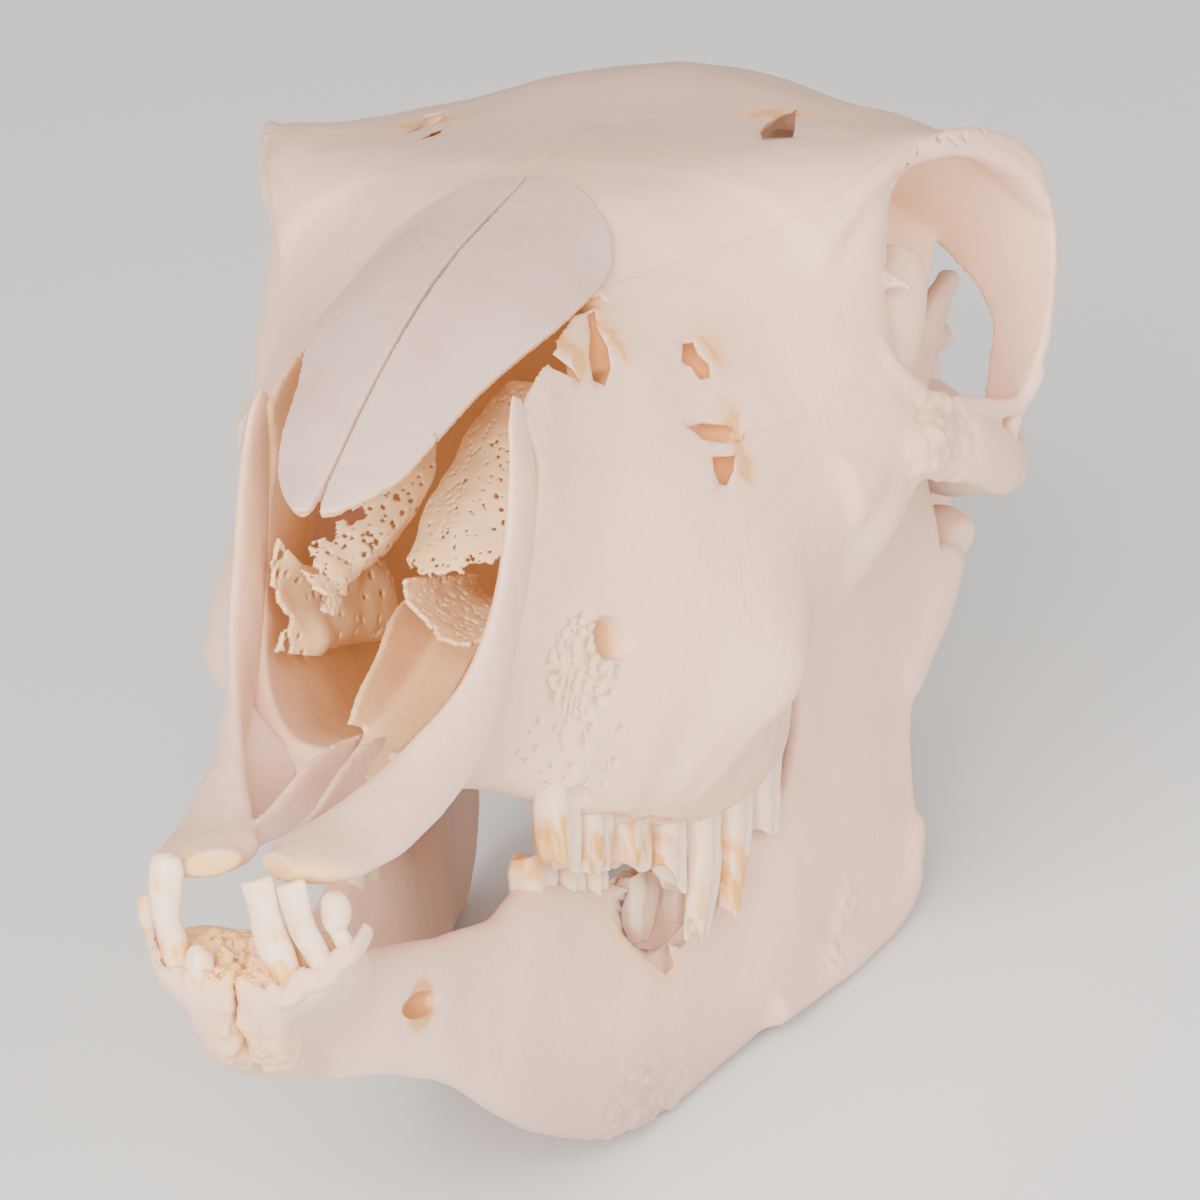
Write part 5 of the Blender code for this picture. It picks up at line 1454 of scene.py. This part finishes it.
def make_front_tooth(name, stations):
    """A peg along its stations, stained at the root."""
    tooth = skin(name, tube_rings(stations, (1, 0.2, 0), sides=32, steps=5), closed=True)
    modify(tooth, "SUBSURF", levels=1, render_levels=1)
    points = places(tooth)
    patch = fade(uneven(points, 2.6, 65, 2), 0.1, 0.8)
    root = 1 - fade(unit(points[:, 2]), 0.12, 0.4)
    mark(tooth, "stain", np.clip(root * 0.7 + patch * 0.35, 0, 1))
    mark(tooth, "recess_shade", np.zeros(len(points)))
    return tooth


# Operators

def finishes(context):
    """The skull's materials, made once."""
    colours = context.scene.skull_colours
    made = bpy.data.materials
    if "dry_bone" not in made:
        bone_finish("dry_bone", tuple(colours.bone), tuple(colours.recess_shade))
        bone_finish("shaded_nasal_bone", tuple(colours.nasal), tuple(colours.recess_shade))
        bone_finish("thin_bone", tuple(colours.inner), tuple(colours.recess_shade), glow=0.3)
        tooth_finish("enamel", tuple(colours.enamel), tuple(colours.tartar))
    return made


def lay_bone(context, bone, finish, slot, node):
    """Lays a bone in place of its node, with a plain value for each mark that it lacks."""
    count = len(bone.data.vertices)
    for name in ("seam", "seam_show", "seam_jag", "recess_shade", "porous", "stain", "broad_shade"):
        if bone.data.attributes.get(name) is None:
            mark(bone, name, np.full(count, FAR if name == "seam" else 0.0))
    finish_piece(bone, finishes(context)[finish], slot, node)


def lay_pair(context, make, piece, finish, slot, node):
    """Makes the left and the right one of a pair of bones and lays both."""
    for word, side in SIDES:
        bone = make(f"{piece}_{word}", side, context.scene.skull_sizes)
        lay_bone(context, bone, finish, slot, f"{node}_{word}")


class SKULL_OT_cranium(bpy.types.Operator):
    """Brain case, forehead, orbits, face and palate"""
    bl_idname = "skull.cranium"
    bl_label = "Cranium"

    def execute(self, context):
        bone = make_cranium(context.scene.skull_sizes)
        lay_bone(context, bone, "dry_bone", "bone", "cranium")
        return {"FINISHED"}


class SKULL_OT_nasal_bones(bpy.types.Operator):
    """The two pale plates on the bridge of the nose"""
    bl_idname = "skull.nasal_bones"
    bl_label = "Nasal bones"

    def execute(self, context):
        lay_pair(context, make_nasal, "nasal_bone", "shaded_nasal_bone", "nasal_bone", "nasal")
        return {"FINISHED"}


class SKULL_OT_premaxillae(bpy.types.Operator):
    """The two front bones of the upper jaw"""
    bl_idname = "skull.premaxillae"
    bl_label = "Premaxillae"

    def execute(self, context):
        lay_pair(context, make_premaxilla, "premaxilla_bone", "dry_bone", "bone", "premaxilla")
        return {"FINISHED"}


class SKULL_OT_nose_scrolls(bpy.types.Operator):
    """The paper-thin bone inside the nose"""
    bl_idname = "skull.nose_scrolls"
    bl_label = "Nose scrolls"

    def execute(self, context):
        lay_pair(context, make_concha, "nose_scroll", "thin_bone", "inner_bone", "concha")
        bone = make_vomer(context.scene.skull_sizes)
        lay_bone(context, bone, "thin_bone", "inner_bone", "vomer")
        return {"FINISHED"}


class SKULL_OT_lower_jaw(bpy.types.Operator):
    """Both halves of the lower jaw"""
    bl_idname = "skull.lower_jaw"
    bl_label = "Lower jaw"

    def execute(self, context):
        lay_pair(context, make_jaw, "jaw_bone", "dry_bone", "bone", "mandible")
        return {"FINISHED"}


class SKULL_OT_cheek_teeth(bpy.types.Operator):
    """Upper and lower cheek teeth"""
    bl_idname = "skull.cheek_teeth"
    bl_label = "Cheek teeth"

    def execute(self, context):
        finish = finishes(context)["enamel"]
        for row, columns in CHEEK_TEETH.items():
            for number, details in enumerate(zip(*columns), start=1):
                for word, side in SIDES:
                    tooth = make_cheek_tooth(f"{row}_cheek_tooth_{word}_{number}", side, *details)
                    finish_piece(tooth, finish, "tooth", f"{row}_tooth_{word}_{number}")
        return {"FINISHED"}


class SKULL_OT_front_teeth(bpy.types.Operator):
    """Front teeth of the lower jaw"""
    bl_idname = "skull.front_teeth"
    bl_label = "Front teeth"

    def execute(self, context):
        for node, stations in FRONT_TEETH.items():
            tooth = make_front_tooth(node.replace("incisor", "front_tooth"), stations)
            finish_piece(tooth, finishes(context)["enamel"], "tooth", node)
        return {"FINISHED"}


class SKULL_OT_stage(bpy.types.Operator):
    """Pale floor, soft studio light and the camera"""
    bl_idname = "skull.stage"
    bl_label = "Studio"

    def execute(self, context):
        settings, colours = context.scene.skull_stage, context.scene.skull_colours
        bpy.ops.object.select_all(action="DESELECT")
        bpy.ops.mesh.primitive_plane_add(size=FLOOR_METRES, location=(0, 0, 0))
        floor = context.object
        floor.name = "studio_floor"
        sheet = Finish("floor", 0.6)
        pale = tuple(colours.floor)
        dull = tuple(c * 0.985 for c in pale)
        sheet.feed("Base Color", sheet.mix(sheet.noise(60, 2) * 0.5, pale, dull))
        floor.data.materials.append(sheet.material)
        world = context.scene.world or bpy.data.worlds.new("room")
        context.scene.world = world
        world.use_nodes = True
        sky = world.node_tree.nodes["Background"]
        sky.inputs["Color"].default_value = (*WARM_LIGHT, 1)
        sky.inputs["Strength"].default_value = settings.sky_strength
        for name, power in (("key", settings.key_power), ("fill", settings.fill_power)):
            place, width = LAMPS[name]
            aim = LAMPS_FACE - Vector(place)
            bpy.ops.object.light_add(type="AREA", location=place,
                                     rotation=aim.to_track_quat("-Z", "Y").to_euler())
            lamp = context.object
            lamp.name = name
            lamp.data.shape = "DISK"
            lamp.data.size = width
            lamp.data.energy = power
            lamp.data.color = WARM_LIGHT
        place_camera(context)
        return {"FINISHED"}


def place_camera(context):
    bpy.ops.object.camera_add()
    camera = context.object
    camera.name = "view"
    camera.data.sensor_width = SENSOR_MM
    camera.data.lens = VIEW_FOCUS / FRAME_PIXELS * SENSOR_MM
    camera.data.shift_x = (FRAME_PIXELS / 2 - VIEW_CENTRE[0]) / FRAME_PIXELS
    camera.data.shift_y = (VIEW_CENTRE[1] - FRAME_PIXELS / 2) / FRAME_PIXELS
    camera.data.clip_start = 0.01
    pose = Matrix((VIEW_RIGHT, VIEW_UP, TO_CAMERA)).transposed().to_4x4()
    pose.translation = VIEW_TARGET + TO_CAMERA * VIEW_DISTANCE
    camera.matrix_world = (TO_WORLD @ pose).normalized()
    camera.location = TO_WORLD @ pose.translation
    context.scene.camera = camera


class SKULL_PT_panel(bpy.types.Panel):
    bl_label = "Sheep skull"
    bl_idname = "SKULL_PT_panel"
    bl_space_type = "VIEW_3D"
    bl_region_type = "UI"
    bl_category = "Skull"

    def draw(self, context):
        for step in STEPS:
            self.layout.operator(step.bl_idname)
        for group in ("skull_sizes", "skull_colours", "skull_stage"):
            box = self.layout.box()
            settings = getattr(context.scene, group)
            for name in settings.__annotations__:
                box.prop(settings, name)


STEPS = (SKULL_OT_stage, SKULL_OT_cranium, SKULL_OT_nasal_bones, SKULL_OT_premaxillae,
         SKULL_OT_nose_scrolls, SKULL_OT_lower_jaw, SKULL_OT_cheek_teeth, SKULL_OT_front_teeth)
GROUPS = {"skull_sizes": SkullSizes, "skull_colours": SkullColours, "skull_stage": StageSettings}


def register():
    for name, group in GROUPS.items():
        bpy.utils.register_class(group)
        setattr(bpy.types.Scene, name, PointerProperty(type=group))
    for step in STEPS + (SKULL_PT_panel,):
        bpy.utils.register_class(step)


def unregister():
    for step in (SKULL_PT_panel,) + STEPS:
        bpy.utils.unregister_class(step)
    for name, group in GROUPS.items():
        delattr(bpy.types.Scene, name)
        bpy.utils.unregister_class(group)


def main():
    register()
    bpy.ops.skull.stage()
    bpy.ops.skull.cranium()
    bpy.ops.skull.nasal_bones()
    bpy.ops.skull.premaxillae()
    bpy.ops.skull.nose_scrolls()
    bpy.ops.skull.lower_jaw()
    bpy.ops.skull.cheek_teeth()
    bpy.ops.skull.front_teeth()


if __name__ == "__main__":
    main()
